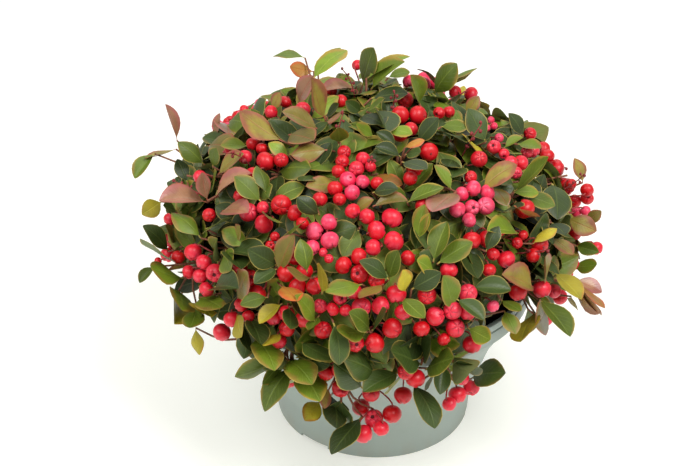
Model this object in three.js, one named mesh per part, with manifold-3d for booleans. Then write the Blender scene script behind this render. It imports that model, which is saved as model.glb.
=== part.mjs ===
// Gaultheria, a low evergreen shrub with red berries, in a round grey plastic pot.
// Millimetres, +Z up. The origin is the middle of the pot's flat underside, which is
// what the plant stands on. -Y is the front, +X the right.

import * as THREE from 'three';
import { mergeVertices } from 'three/addons/utils/BufferGeometryUtils.js';
import Module from 'manifold-3d';

const wasm = await Module();
wasm.setup();

const CLEARANCE = 0.3; // gap that parts which meet keep to each other
const DEG = Math.PI / 180;
const GOLDEN_ANGLE = 137.508 * DEG;

// The pot: a short upright foot, a flaring bowl and an upright collar with a groove.
const POT = {
  height: 126,
  footRadius: 74.5,
  collarRadius: 113,
  collarBottom: 110,
  rimInnerRadius: 109.4,
  floor: 5,
  sides: 36,
  rounding: 1, // at the foot's edge
  rimRounding: 0.6,
  grooveHeight: 119.2,
  grooveWidth: 1.8,
  grooveDepth: 1.2,
  grooveSlope: 0.3,
};
// Outer radius of the bowl at heights above the underside, and the wall it leaves.
const BOWL = [[25, 75.2], [50, 82.9], [75, 91], [95, 101.6], [107, 109.6]];
const WALL = 2.1;
const POT_MARGIN = 2; // leaves and twigs keep this far from the pot
const DRAIN = { count: 3, width: 25, height: 3, depth: 5, firstAngle: 233.5 * DEG };

// The compost, level round the stem and a little lower at the wall.
const COMPOST = { middleHeight: 111, levelRadius: 42, edgeHeight: 108, edgeRadius: 106.5 };

// The crown: a flattened dome over a skirt that hangs past the rim.
const CROWN = {
  middle: new THREE.Vector3(-6, 5, 154),
  radius: 156, // level half width of the bulk
  rise: 99, // bulk above the middle
  drop: 120, // bulk below the middle, if the skirt closed under the pot
};

// Reach is a share of the way from the crown's middle to its bulk.
const REACH = {
  limbEnd: 0.42, // boughs end here, where they enter a mass
  massInner: 0.45,
  coreInner: 0.5,
  hub: 0.6, // where a mass's own stem ends and its twigs part
  knee: 0.66, // where a twig leaves the core
  hangingKnee: 0.82, // the same, for a twig that hangs past the rim
  coreOuter: 0.81,
  capOuter: 0.72,
  shoot: 0.95, // mean end of a shoot
  leafTip: 1.1, // no leaf goes past this, apart from the long sprigs
};

// The masses: a cap on top, and a ring of side masses that reach down past the rim.
// Tilt is the angle from straight up, before the crown's flattening.
const CAP = { tiltEnd: 34, sides: 10, shoulderTilt: 0.6, shoulderDrop: 0.05 };
const SIDE = { count: 8, tiltEnd: 142, coreEnd: 118, turn: 10, stemTilt: 68 };
// The lowest shoots by tilt: how far they hang over the front, and where the rim shows.
const SKIRT = {
  tilt: 98,
  hangTurn: 266,
  hangHalf: 32,
  hangDrop: 19,
  bareTurn: 312,
  bareHalf: 14,
  bareRise: 7,
};
const MASS_GAP = 0.7; // kept clear on each side of a border between masses
const HANGING_KNEE_TILT = 100 * DEG; // lowest tilt at which a twig leaves the core
const CORE_FILL = 0.97; // share of a mass's width that its core takes up
// A side mass's core: cells across, down and through, with its corners drawn in and its
// faces drawn together at the edges.
const CUSHION = { cells: [3, 5, 1], cornerCut: 0.12, edgeCut: 0.35 };

// The short woody stem inside, and the boughs that leave it.
const STEM = {
  footRadius: 13,
  flareHeight: 6,
  flareRadius: 9.2,
  waistHeight: 15,
  waistRadius: 7.6,
  height: 46,
  topRadius: 6,
  sides: 10,
};
const BOUGH = { rootRadius: 3.4, tipRadius: 2.5, sides: 5, steps: 3, run: 24 };
const BOUGH_HEIGHTS = [22, 32]; // above the stem's foot, by turns

// A twig's knee lies this share of the way from its mass's middle to its own turn.
const KNEE_SPREAD = 0.9;
const TWIG = { rootRadius: 2.7, tipRadius: 2.6, sides: 3 };
const LEAF = {
  length: 43,
  width: 26,
  thickness: 1.3,
  shoulder: 0.8, // how far along the half length the blade stays wide
  sunk: 0.1, // past the twig's axis
  firstStation: 4, // back from the twig's end
  stationGap: 5,
  lift: [8, 44], // degrees that a leaf rises from square to its twig
  sprigLift: [34, 68],
  swing: 40, // degrees that a leaf may stray from square to its side of the twig
};
const LEAF_ATTEMPTS = 15;
const ROOT_OVERLAP = 0.3; // cubic millimetres that two leaves may share at their roots
const MERGE = 0.05; // edges shorter than this are closed up in a joined mass
const BERRY = { radius: 6.2, spacing: 0.8 };

const SHOOT_COUNT = 192;
const LEAVES_PER_SHOOT = 3;
const BERRIES_PER_SHOOT = 2;
const BERRY_SHOOT_EVERY = 4; // one shoot in four ends in berries, not leaves
// The shoots' areas are summed over this many rings, down to the lowest tilt. The
// jitters are in radians of turn and in reach.
const SPREAD = { rings: 180, lowestTilt: 124 * DEG, turnJitter: 0.25, reachJitter: 0.09 };

// Sprigs that stand out of the dome or hang lowest: direction by turn and tilt in
// degrees, reach of the twig's end, the leaves it carries, and how far they may reach.
const SPRIGS = [
  { turn: 165, tilt: 15, reach: 1.17, leaves: 5, tipReach: 1.36 }, // top left
  { turn: 100, tilt: 14, reach: 1, leaves: 4, tipReach: 1.2 }, // top middle, upright leaves
  { turn: 50, tilt: 30, reach: 0.93, leaves: 3, tipReach: 1.1 }, // top right
  { turn: 190, tilt: 62, reach: 1.08, leaves: 4, tipReach: 1.34 }, // left, a curled leaf
  { turn: 357, tilt: 61, reach: 0.95, leaves: 3, tipReach: 1.14 }, // right
  { turn: 207, tilt: 88, reach: 0.95, leaves: 3, tipReach: 1.12 }, // left edge
  { turn: 246, tilt: 112, reach: 0.92, leaves: 3, tipReach: 1.1 }, // front left, low
  { turn: 262, tilt: 123, reach: 0.97, leaves: 4, tipReach: 1.18 }, // lowest
  { turn: 276, tilt: 117, reach: 0.94, leaves: 3, tipReach: 1.1 }, // right of the lowest
  { turn: 290, tilt: 112, reach: 0.92, leaves: 3, tipReach: 1.1 }, // front right, low
  { turn: 334, tilt: 91, reach: 0.94, leaves: 3, tipReach: 1.12 }, // right edge
];

const PLASTIC = { color: 0x93a09a, roughness: 0.5 };
const SOIL = { color: 0x2e241d, roughness: 0.95 };
const BARK = { color: 0x6b4a34, roughness: 0.85 };
const LEAF_GREENS = [0x3f6a34, 0x4c7a3a, 0x35592f];
const LEAF_ROUGHNESS = 0.6;

// What the repeatable numbers of a shoot are used for.
const USE = { turn: 1, reach: 2, roll: 3, berryTurn: 12, berryPlace: 14, swing: 20, lift: 40 };

const UP = new THREE.Vector3(0, 0, 1);

// A repeatable number from 0 to 1 for one thing and one use.
function chance(thing, use) {
  const wave = Math.sin(thing * 12.9898 + use * 78.233) * 43758.5453;
  return wave - Math.floor(wave);
}

// A three.js geometry with its seams closed, ready to be bent or turned.
function closed(geometry) {
  geometry.deleteAttribute('normal');
  geometry.deleteAttribute('uv');
  return mergeVertices(geometry, 1e-4);
}

// A closed geometry as a solid that can be joined and cut.
function solidOf(geometry) {
  const vertProperties = new Float32Array(geometry.attributes.position.array);
  const triVerts = new Uint32Array(geometry.index.array);
  return new wasm.Manifold(new wasm.Mesh({ numProp: 3, vertProperties, triVerts }));
}

// The largest body of a solid: sealed hollows are filled and loose scraps dropped.
function mainBody(solid) {
  return solid.decompose().reduce((a, b) => (b.volume() > a.volume() ? b : a));
}

function geometryOf(solid) {
  const mesh = solid.getMesh();
  const geometry = new THREE.BufferGeometry();
  geometry.setAttribute('position', new THREE.BufferAttribute(mesh.vertProperties, 3));
  geometry.setIndex(new THREE.BufferAttribute(mesh.triVerts, 1));
  geometry.computeVertexNormals();
  return geometry;
}

function namedMesh(name, geometry, look) {
  const material = new THREE.MeshStandardMaterial({ ...look, metalness: 0 });
  const mesh = new THREE.Mesh(geometry, material);
  mesh.name = name;
  return mesh;
}

// A profile of [height, radius] pairs turned about the Z axis.
function turned(profile, sides) {
  const points = profile.map(([height, radius]) => new THREE.Vector2(radius, height));
  return closed(new THREE.LatheGeometry(points, sides)).rotateX(90 * DEG);
}

// A place in the crown from its turn and tilt in radians and its reach.
function crownPoint(turn, tilt, reach) {
  const depth = Math.cos(tilt) > 0 ? CROWN.rise : CROWN.drop;
  return new THREE.Vector3(
    CROWN.radius * Math.sin(tilt) * Math.cos(turn),
    CROWN.radius * Math.sin(tilt) * Math.sin(turn),
    depth * Math.cos(tilt),
  ).multiplyScalar(reach).add(CROWN.middle);
}

// The turn, tilt and reach of a point, the inverse of crownPoint.
function crownPlace(point) {
  const from = point.clone().sub(CROWN.middle);
  from.x /= CROWN.radius;
  from.y /= CROWN.radius;
  from.z /= from.z > 0 ? CROWN.rise : CROWN.drop;
  const reach = from.length();
  const turn = Math.atan2(from.y, from.x);
  return { turn, tilt: Math.acos(from.z / reach), reach };
}

// The crown's outward direction at a point.
function crownNormal(point) {
  const from = point.clone().sub(CROWN.middle);
  const depth = from.z > 0 ? CROWN.rise : CROWN.drop;
  from.z *= (CROWN.radius / depth) ** 2;
  return from.normalize();
}

function angleBetween(a, b) {
  return Math.atan2(Math.sin(a - b), Math.cos(a - b));
}

// The lowest tilt of the skirt's shoots: lowest over the front, and short where the
// rim shows at the front right.
function skirtEnd(turn) {
  const fromHang = angleBetween(turn, SKIRT.hangTurn * DEG) / (SKIRT.hangHalf * DEG);
  const fromBare = angleBetween(turn, SKIRT.bareTurn * DEG) / (SKIRT.bareHalf * DEG);
  const hang = SKIRT.hangDrop * Math.exp(-(fromHang ** 4));
  const bare = SKIRT.bareRise * Math.exp(-(fromBare ** 2));
  return (SKIRT.tilt + hang - bare) * DEG;
}

// A direction square to a heading, at an angle round it.
function besides(heading, angle) {
  const side = Math.abs(heading.z) > 0.9 ? new THREE.Vector3(1, 0, 0) : UP;
  const across = new THREE.Vector3().crossVectors(side, heading).normalize();
  const over = new THREE.Vector3().crossVectors(heading, across);
  return across.multiplyScalar(Math.cos(angle)).addScaledVector(over, Math.sin(angle));
}

// A limb with flat ends that tapers along a curve, with one edge at the roll angle.
function limb(curve, rootRadius, tipRadius, sides, steps, roll = 0) {
  const geometry = closed(new THREE.CylinderGeometry(1, 1, 1, sides, steps));
  const position = geometry.attributes.position;
  for (let i = 0; i < position.count; i += 1) {
    const along = position.getY(i) + 0.5;
    const fromAxis = Math.hypot(position.getX(i), position.getZ(i));
    const angle = roll + Math.atan2(position.getX(i), position.getZ(i));
    const place = curve.getPoint(along);
    const radius = fromAxis * THREE.MathUtils.lerp(rootRadius, tipRadius, along);
    place.addScaledVector(besides(curve.getTangent(along), angle), radius);
    position.setXYZ(i, place.x, place.y, place.z);
  }
  return geometry;
}

function straight(from, to) {
  return new THREE.LineCurve3(from, to);
}

function makePot() {
  const grooveTop = POT.grooveHeight + POT.grooveWidth;
  const grooveRadius = POT.collarRadius - POT.grooveDepth;
  const inside = BOWL.toReversed().map(([height, radius]) => [height, radius - WALL]);
  const profile = [
    [0, 0],
    [0, POT.footRadius - POT.rounding],
    [POT.rounding, POT.footRadius],
    ...BOWL,
    [POT.collarBottom, POT.collarRadius],
    [POT.grooveHeight, POT.collarRadius],
    [POT.grooveHeight + POT.grooveSlope, grooveRadius],
    [grooveTop - POT.grooveSlope, grooveRadius],
    [grooveTop, POT.collarRadius],
    [POT.height, POT.collarRadius - POT.rimRounding],
    [POT.height, POT.rimInnerRadius],
    ...inside,
    [POT.floor, POT.footRadius - WALL],
    [POT.floor, 0],
  ];
  let body = solidOf(turned(profile, POT.sides));
  for (let i = 0; i < DRAIN.count; i += 1) {
    const notch = closed(new THREE.BoxGeometry(DRAIN.depth * 2, DRAIN.width, DRAIN.height * 2));
    notch.translate(POT.footRadius, 0, 0);
    notch.rotateZ(DRAIN.firstAngle + (i * 360 * DEG) / DRAIN.count);
    body = body.subtract(solidOf(notch));
  }
  return namedMesh('pot', geometryOf(body), PLASTIC);
}

// The room that the pot and what is in it take up, grown all round.
function potRoom() {
  const profile = [
    [0, 0],
    [0, POT.footRadius + POT_MARGIN],
    ...BOWL.map(([height, radius]) => [height, radius + POT_MARGIN]),
    [POT.collarBottom - POT_MARGIN, POT.collarRadius + POT_MARGIN],
    [POT.height + POT_MARGIN, POT.collarRadius + POT_MARGIN],
    [POT.height + POT_MARGIN, 0],
  ];
  return solidOf(turned(profile, POT.sides));
}

function makeCompost() {
  const side = BOWL.slice(0, -1).map(([height, radius]) => [height, radius - WALL - CLEARANCE]);
  const profile = [
    [POT.floor + CLEARANCE, 0],
    [POT.floor + CLEARANCE, POT.footRadius - WALL - CLEARANCE],
    ...side,
    [COMPOST.edgeHeight, COMPOST.edgeRadius],
    [COMPOST.middleHeight, COMPOST.levelRadius],
    [COMPOST.middleHeight, 0],
  ];
  return namedMesh('compost', geometryOf(solidOf(turned(profile, POT.sides))), SOIL);
}

const STEM_FOOT = COMPOST.middleHeight + CLEARANCE;

// The short stem, or the room that a bough cut against it leaves, grown all round.
function stemGeometry(grown) {
  const top = STEM_FOOT + STEM.height + grown;
  const profile = [
    [STEM_FOOT - grown, 0],
    [STEM_FOOT - grown, STEM.footRadius + grown],
    [STEM_FOOT + STEM.flareHeight, STEM.flareRadius + grown],
    [STEM_FOOT + STEM.waistHeight, STEM.waistRadius + grown],
    [top, STEM.topRadius + grown],
    [top, 0],
  ];
  return turned(profile, STEM.sides);
}

// The masses' names and the spaces that they keep to.
function listMasses() {
  const masses = [{
    name: 'top',
    turn: 0,
    halfTurn: Math.PI,
    tiltStart: 0,
    tiltEnd: CAP.tiltEnd * DEG,
    stemTilt: 0,
    coreEnd: CAP.tiltEnd * DEG,
    boughHeight: STEM.height,
  }];
  const halfTurn = Math.PI / SIDE.count;
  for (let i = 0; i < SIDE.count; i += 1) {
    masses.push({
      name: `side_${i + 1}`,
      turn: SIDE.turn * DEG + (2 * i + 1) * halfTurn,
      halfTurn,
      tiltStart: CAP.tiltEnd * DEG,
      tiltEnd: SIDE.tiltEnd * DEG,
      stemTilt: SIDE.stemTilt * DEG,
      coreEnd: SIDE.coreEnd * DEG,
      boughHeight: BOUGH_HEIGHTS[i % 2],
    });
  }
  return masses;
}

// Whether a point lies in a mass's own space, clear of its neighbours.
function inSpace(mass, point, tipReach) {
  const { turn, tilt, reach } = crownPlace(point);
  const spare = MASS_GAP / (CROWN.rise * reach);
  const toSide = mass.halfTurn - Math.abs(angleBetween(turn, mass.turn));
  const sidesFree = mass.tiltStart === 0 || (toSide > 0 && Math.sin(toSide) * Math.sin(tilt) > spare);
  const aboveFree = mass.tiltStart === 0 || tilt - mass.tiltStart > spare;
  const tiltFree = aboveFree && mass.tiltEnd - tilt > spare;
  return sidesFree && tiltFree && reach > REACH.massInner && reach < tipReach;
}

function massAt(masses, turn, tilt) {
  return masses.find((mass) => (
    tilt < mass.tiltEnd && Math.abs(angleBetween(turn, mass.turn)) <= mass.halfTurn
  ));
}

// Shoots spread evenly over the crown's surface: equal areas down the dome, and each
// a golden angle on from the last.
function listShoots() {
  const ringTilt = SPREAD.lowestTilt / SPREAD.rings;
  const areas = [0];
  for (let i = 0; i < SPREAD.rings; i += 1) {
    const tilt = (i + 0.5) * ringTilt;
    const depth = Math.cos(tilt) > 0 ? CROWN.rise : CROWN.drop;
    const slant = Math.hypot(CROWN.radius * Math.cos(tilt), depth * Math.sin(tilt));
    areas.push(areas[i] + Math.sin(tilt) * slant);
  }
  const shoots = [];
  for (let i = 0; i < SHOOT_COUNT; i += 1) {
    const area = ((i + 0.5) / SHOOT_COUNT) * areas[SPREAD.rings];
    const ring = areas.findIndex((sum) => sum >= area) - 1;
    const tilt = (ring + (area - areas[ring]) / (areas[ring + 1] - areas[ring])) * ringTilt;
    const turn = i * GOLDEN_ANGLE + (chance(i, USE.turn) - 0.5) * SPREAD.turnJitter;
    const reach = REACH.shoot + (chance(i, USE.reach) - 0.5) * SPREAD.reachJitter;
    const fruiting = i % BERRY_SHOOT_EVERY === 0;
    if (tilt < skirtEnd(turn)) {
      shoots.push({
        id: i,
        turn,
        tilt,
        reach,
        leaves: fruiting ? 0 : LEAVES_PER_SHOOT,
        berries: fruiting ? BERRIES_PER_SHOOT : 0,
        lift: LEAF.lift,
        tipReach: REACH.leafTip,
      });
    }
  }
  for (const [i, sprig] of SPRIGS.entries()) {
    shoots.push({
      id: SHOOT_COUNT + i,
      turn: sprig.turn * DEG,
      tilt: sprig.tilt * DEG,
      reach: sprig.reach,
      leaves: sprig.leaves,
      berries: 0,
      lift: LEAF.sprigLift,
      tipReach: sprig.tipReach,
    });
  }
  return shoots;
}

// The cap's dense core: a plug that fills its space part of the way out.
function plugGeometry(mass) {
  const edge = mass.tiltEnd * CORE_FILL;
  const corners = [
    [0, REACH.coreInner],
    [edge, REACH.coreInner],
    [edge, REACH.capOuter - CAP.shoulderDrop],
    [edge * CAP.shoulderTilt, REACH.capOuter],
    [0, REACH.capOuter],
  ];
  const profile = corners.map(([tilt, reach]) => {
    const corner = crownPoint(0, tilt, reach).sub(CROWN.middle);
    return [corner.z, corner.x];
  });
  return turned(profile, CAP.sides).translate(...CROWN.middle.toArray());
}

// A side mass's dense core: a cushion that fills its space part of the way out.
function cushionGeometry(mass) {
  const cushion = closed(new THREE.BoxGeometry(2, 2, 2, ...CUSHION.cells));
  const position = cushion.attributes.position;
  const middleTilt = (mass.tiltStart + mass.coreEnd) / 2;
  const halfTilt = ((mass.coreEnd - mass.tiltStart) / 2) * CORE_FILL;
  const halfTurn = mass.halfTurn * CORE_FILL;
  const middleReach = (REACH.coreInner + REACH.coreOuter) / 2;
  const halfReach = (REACH.coreOuter - REACH.coreInner) / 2;
  for (let i = 0; i < position.count; i += 1) {
    const [x, y, z] = [position.getX(i), position.getY(i), position.getZ(i)];
    const corner = 1 - CUSHION.cornerCut * x * x * y * y;
    const swell = 1 - CUSHION.edgeCut * Math.max(Math.abs(x), Math.abs(y)) ** 4;
    const turn = mass.turn + x * corner * halfTurn;
    const tilt = middleTilt - y * corner * halfTilt;
    const place = crownPoint(turn, tilt, middleReach + z * swell * halfReach);
    position.setXYZ(i, place.x, place.y, place.z);
  }
  return cushion;
}

// A leaf: a thin six-cornered oval, its root sunk in the twig.
function leafGeometry(root, heading, face) {
  const leaf = closed(new THREE.SphereGeometry(1, 6, 2));
  const outline = leaf.attributes.position;
  for (let i = 0; i < outline.count; i += 1) {
    const along = outline.getX(i);
    if (Math.abs(along) < 0.9) outline.setX(i, along * LEAF.shoulder);
  }
  leaf.scale(LEAF.length / 2, LEAF.thickness / 2, LEAF.width / 2);
  leaf.translate(LEAF.length / 2 - LEAF.sunk, 0, 0);
  const over = face.clone().addScaledVector(heading, -face.dot(heading)).normalize();
  const across = new THREE.Vector3().crossVectors(heading, over);
  const basis = new THREE.Matrix4().makeBasis(heading, over, across).setPosition(root);
  return leaf.applyMatrix4(basis);
}

// Whether all of a twig, leaf or berry keeps to a mass's space.
function keepsToSpace(mass, geometry, tipReach) {
  const position = geometry.attributes.position;
  const point = new THREE.Vector3();
  const middle = new THREE.Vector3();
  geometry.computeBoundingBox();
  geometry.boundingBox.getCenter(middle);
  for (let i = 0; i < position.count; i += 1) {
    point.fromBufferAttribute(position, i);
    const halfway = point.clone().add(middle).multiplyScalar(0.5);
    if (!inSpace(mass, point, tipReach) || !inSpace(mass, halfway, tipReach)) return false;
  }
  return true;
}

// Whether a solid cuts into none of the others, apart from leaf roots that meet.
function isFree(solid, others) {
  return others.every((other) => solid.intersect(other).volume() < ROOT_OVERLAP);
}

// The twig of a shoot: from the hub to the knee in the core, then out to its end.
function growTwig(mass, hub, shoot) {
  const spread = mass.tiltStart === 0 ? 1 : KNEE_SPREAD;
  const towards = mass.turn + angleBetween(shoot.turn, mass.turn) * spread;
  const hanging = shoot.tilt > HANGING_KNEE_TILT;
  const kneeTilt = Math.min(shoot.tilt, HANGING_KNEE_TILT);
  const knee = crownPoint(towards, kneeTilt, hanging ? REACH.hangingKnee : REACH.knee);
  const end = crownPoint(shoot.turn, shoot.tilt, shoot.reach);
  const roll = chance(shoot.id, USE.roll) * 360 * DEG;
  return {
    end,
    roll,
    heading: end.clone().sub(knee).normalize(),
    inner: limb(straight(hub, knee), TWIG.rootRadius, TWIG.rootRadius, TWIG.sides, 1),
    outer: limb(straight(knee, end), TWIG.rootRadius, TWIG.tipRadius, TWIG.sides, 1, roll),
  };
}

// The leaves at a shoot's end, each out of the next side of the three-sided twig.
// One that would leave the mass's space or cut something tries other ways round and
// other lifts, and is left out if none is free.
function growLeaves(mass, shoot, twig, others) {
  const axis = twig.heading.clone().lerp(crownNormal(twig.end), 0.5).normalize();
  const [lowLift, highLift] = shoot.lift;
  const leaves = [];
  for (let i = 0; i < shoot.leaves; i += 1) {
    const back = LEAF.firstStation + i * LEAF.stationGap;
    const root = twig.end.clone().addScaledVector(twig.heading, -back);
    for (let attempt = 0; attempt < LEAF_ATTEMPTS; attempt += 1) {
      const swing = (chance(shoot.id, USE.swing + i + attempt) - 0.5) * LEAF.swing;
      const face = ((i + attempt + 0.5) * 360) / TWIG.sides + swing;
      const round = Math.floor(attempt / TWIG.sides);
      const rise = chance(shoot.id, USE.lift + i + round);
      const lift = THREE.MathUtils.lerp(lowLift, highLift, rise) * DEG;
      const heading = besides(twig.heading, twig.roll + face * DEG);
      heading.multiplyScalar(Math.cos(lift)).addScaledVector(axis, Math.sin(lift)).normalize();
      const leaf = leafGeometry(root, heading, axis);
      if (keepsToSpace(mass, leaf, shoot.tipReach) && isFree(solidOf(leaf), others)) {
        leaves.push(leaf);
        others.push(solidOf(leaf));
        break;
      }
    }
  }
  return leaves;
}

// A cluster of berries round a shoot's end.
function growBerries(mass, shoot, twig, others) {
  const berries = [];
  for (let i = 0; i < shoot.berries; i += 1) {
    const angle = (chance(shoot.id, USE.berryTurn) + i / shoot.berries) * 360 * DEG;
    const berry = closed(new THREE.DodecahedronGeometry(BERRY.radius)).rotateX(angle);
    const centre = twig.end.clone();
    centre.addScaledVector(besides(twig.heading, angle), BERRY.radius * BERRY.spacing);
    const along = (chance(shoot.id, USE.berryPlace + i) - 0.5) * BERRY.radius;
    centre.addScaledVector(twig.heading, along);
    berry.translate(centre.x, centre.y, centre.z);
    const keeps = keepsToSpace(mass, berry, shoot.tipReach) && isFree(solidOf(berry), others);
    if (keeps) berries.push(berry);
  }
  others.push(...berries.map(solidOf));
  return berries;
}

// One mass: a stem that meets the bough, a core, and the shoots that grow from it.
function growMass(mass, shoots, stemStart, hub, room) {
  const filling = mass.tiltStart === 0 ? plugGeometry(mass) : cushionGeometry(mass);
  const core = solidOf(filling).subtract(room);
  const stem = limb(straight(stemStart, hub), BOUGH.tipRadius, TWIG.rootRadius, BOUGH.sides, 1);
  const twigs = shoots.map((shoot) => ({ shoot, ...growTwig(mass, hub, shoot) }));
  const kept = twigs.filter(({ shoot, outer }) => (
    keepsToSpace(mass, outer, shoot.tipReach) && isFree(solidOf(outer), [room])
  ));
  const pieces = [stem];
  const grown = [room, core];
  for (const twig of kept) {
    const otherTwigs = kept.filter((other) => other !== twig).map((other) => solidOf(other.outer));
    const others = [...grown, ...otherTwigs];
    const berries = growBerries(mass, twig.shoot, twig, others);
    const leaves = growLeaves(mass, twig.shoot, twig, others);
    const held = [...berries, ...leaves];
    grown.push(...held.map(solidOf));
    if (held.length > 0) pieces.push(twig.inner, twig.outer, ...held);
  }
  return mainBody(wasm.Manifold.union([core, ...pieces.map(solidOf)])).simplify(MERGE);
}

function makeCrown() {
  const masses = listMasses();
  const shoots = listShoots();
  const stemRoom = solidOf(stemGeometry(CLEARANCE));
  const room = potRoom();
  const nodes = [namedMesh('short_stem', stemGeometry(0), BARK)];
  for (const [index, mass] of masses.entries()) {
    const hub = crownPoint(mass.turn, mass.stemTilt, REACH.hub);
    const entrance = crownPoint(mass.turn, mass.stemTilt, REACH.limbEnd);
    const heading = hub.clone().sub(entrance).normalize();
    const start = new THREE.Vector3(0, 0, STEM_FOOT + mass.boughHeight);
    const before = entrance.clone().addScaledVector(heading, -BOUGH.run);
    const path = new THREE.QuadraticBezierCurve3(start, before, entrance);
    const bough = limb(path, BOUGH.rootRadius, BOUGH.tipRadius, BOUGH.sides, BOUGH.steps);
    const cutBough = mainBody(solidOf(bough).subtract(stemRoom));
    nodes.push(namedMesh(`bough_${mass.name}`, geometryOf(cutBough), BARK));

    const stemStart = entrance.clone().addScaledVector(heading, CLEARANCE);
    const own = shoots.filter((shoot) => massAt(masses, shoot.turn, shoot.tilt) === mass);
    const foliage = growMass(mass, own, stemStart, hub, room);
    const look = { color: LEAF_GREENS[index % LEAF_GREENS.length], roughness: LEAF_ROUGHNESS };
    nodes.push(namedMesh(`leaves_${mass.name}`, geometryOf(foliage), look));
  }
  return nodes;
}

const group = new THREE.Group();
group.add(makePot(), makeCompost(), ...makeCrown());

export default group;
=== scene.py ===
"""Gaultheria in a grey pot: leaves, berries, twigs, bark, compost and plastic for the frame.

Lengths are in metres, +Z is up and the origin is the middle of the pot's underside.
-Y is the front. The crown's masses and shoots follow the same rule as the solids'.
"""

import math
from dataclasses import dataclass, field

import bmesh
import bpy
import numpy as np
from bpy.props import FloatProperty, FloatVectorProperty, IntProperty, PointerProperty
from bpy.types import Operator, Panel, PropertyGroup
from mathutils import Matrix, Vector, kdtree, noise


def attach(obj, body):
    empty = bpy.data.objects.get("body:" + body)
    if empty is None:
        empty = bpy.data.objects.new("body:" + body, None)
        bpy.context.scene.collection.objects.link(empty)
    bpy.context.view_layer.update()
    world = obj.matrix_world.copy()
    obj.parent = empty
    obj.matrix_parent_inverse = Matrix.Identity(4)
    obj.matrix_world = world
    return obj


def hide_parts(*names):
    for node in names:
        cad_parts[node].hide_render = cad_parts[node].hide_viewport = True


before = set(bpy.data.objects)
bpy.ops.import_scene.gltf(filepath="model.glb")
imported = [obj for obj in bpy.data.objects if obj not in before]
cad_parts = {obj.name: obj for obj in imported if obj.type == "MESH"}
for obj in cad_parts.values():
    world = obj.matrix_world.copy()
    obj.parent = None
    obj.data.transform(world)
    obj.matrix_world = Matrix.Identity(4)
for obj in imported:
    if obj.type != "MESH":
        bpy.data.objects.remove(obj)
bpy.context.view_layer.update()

bl_info = {
    "name": "Gaultheria Plant",
    "version": (1, 0, 0),
    "blender": (4, 5, 0),
    "location": "View3D > Sidebar > Gaultheria",
    "description": "Grows a gaultheria full of berries in a grey plastic pot",
    "category": "Add Mesh",
}

BODY = "root"
GOLDEN_ANGLE = math.radians(137.508)
UP = Vector((0.0, 0.0, 1.0))
RIGHT = Vector((1.0, 0.0, 0.0))
NEAR_TURN = 6.28  # radians, just under a full turn

# The crown's rule, as in the solids. Reach is a share of the way from the crown's
# middle to its bulk, and tilt is the angle from straight up before the flattening.
CROWN_MIDDLE = Vector((-0.006, 0.005, 0.154))
LIMB_END = 0.42
HUB = 0.6
KNEE = 0.66
HANGING_KNEE = 0.82
HANGING_KNEE_TILT = math.radians(100)
KNEE_SPREAD = 0.9
CAP_END = math.radians(34)
SIDE_COUNT = 8
SIDE_TURN = math.radians(10)
SIDE_STEM_TILT = math.radians(68)
SIDE_END = math.radians(142)
SKIRT_TILT = math.radians(98)
HANG_TURN = math.radians(266)
HANG_HALF = math.radians(32)
HANG_DROP = math.radians(19)
BARE_TURN = math.radians(312)
BARE_HALF = math.radians(14)
BARE_RISE = math.radians(7)
SPREAD_RINGS = 180
LOWEST_TILT = math.radians(124)
TURN_JITTER = 0.25
REACH_JITTER = 0.09
MAIN_STEPS = 8
FINE_STEPS = 5
FORKS = (0.5, 0.8)  # where on its parent a finer twig may part, as shares of the way
INNER_FORKS = (0.3, 0.5)
BOWS = (0.35, 0.6)  # how far a finer twig keeps its parent's way, over its own length
# First numbers of the kinds of shoots, so that each has repeatable numbers of its own.
FINE_ID = 1000
INNER_ID = 2000
CLUSTER_ID = 3000
SEEN_LEAF_ID = 3200
CLUSTER_ROOM = 0.011  # no other fine shoot ends this near to a seen cluster
FRUIT_REACH = 0.02  # how much further out a fruiting shoot ends
FRUIT_LEAVES = 2
FRUIT_TONES = ("scarlet", "scarlet", "rose", "rose", "pale")

STEM_FOOT = 0.1113
STEM_HEIGHT = 0.046
STEM_PROFILE = [(0.0, 0.0130), (0.006, 0.0092), (0.015, 0.0076), (STEM_HEIGHT, 0.0060)]
BARK_INSET = 0.97  # leaves room for the bark's relief
RIDGE_STRETCH = 0.35  # of the bark's ridges, along the limb
FINER_RIDGES = 2.3  # how many of them lie where one ridge does
BOUGH_HEIGHTS = (0.022, 0.032)
BOUGH_RUN = 0.024
BOUGH_ROOT = 0.0034
BOUGH_TIP = 0.0025

# The pot's profile outside, with the bowl as heights and radii, smooth between them.
POT_HEIGHT = 0.126
FOOT_RADIUS = 0.0745
COLLAR_RADIUS = 0.113
COLLAR_BOTTOM = 0.110
BOWL = [(0.025, 0.0752), (0.050, 0.0829), (0.075, 0.0910), (0.095, 0.1016), (0.107, 0.1096)]
DRAIN_COUNT = 3
DRAIN_TURN = math.radians(233.5)
DRAIN_DEPTH = 0.010
# The shallow ring under the foot, as radii and heights.
FOOT_RING = [(0.056, 0.0), (0.0565, 0.0006), (0.0595, 0.0006), (0.060, 0.0)]
GROOVE_SLOPE = 0.0003
EDGE_ROUNDING = 0.00025  # of the collar's lower edge and the groove's
POT_MARGIN = 0.0015  # how near leaves come to the pot
LEAST_HEIGHT = 0.004  # how near leaves come to the floor
COMPOST_GAP = 0.0004
COMPOST_RADIUS = 0.1055
COMPOST_RINGS = 26
COMPOST_DIP = 0.0003
COMPOST_HUMP = 0.0015
CRUMBS = [(90, 0.0016), (320, 0.0009)]  # features in a metre, and height

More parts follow.
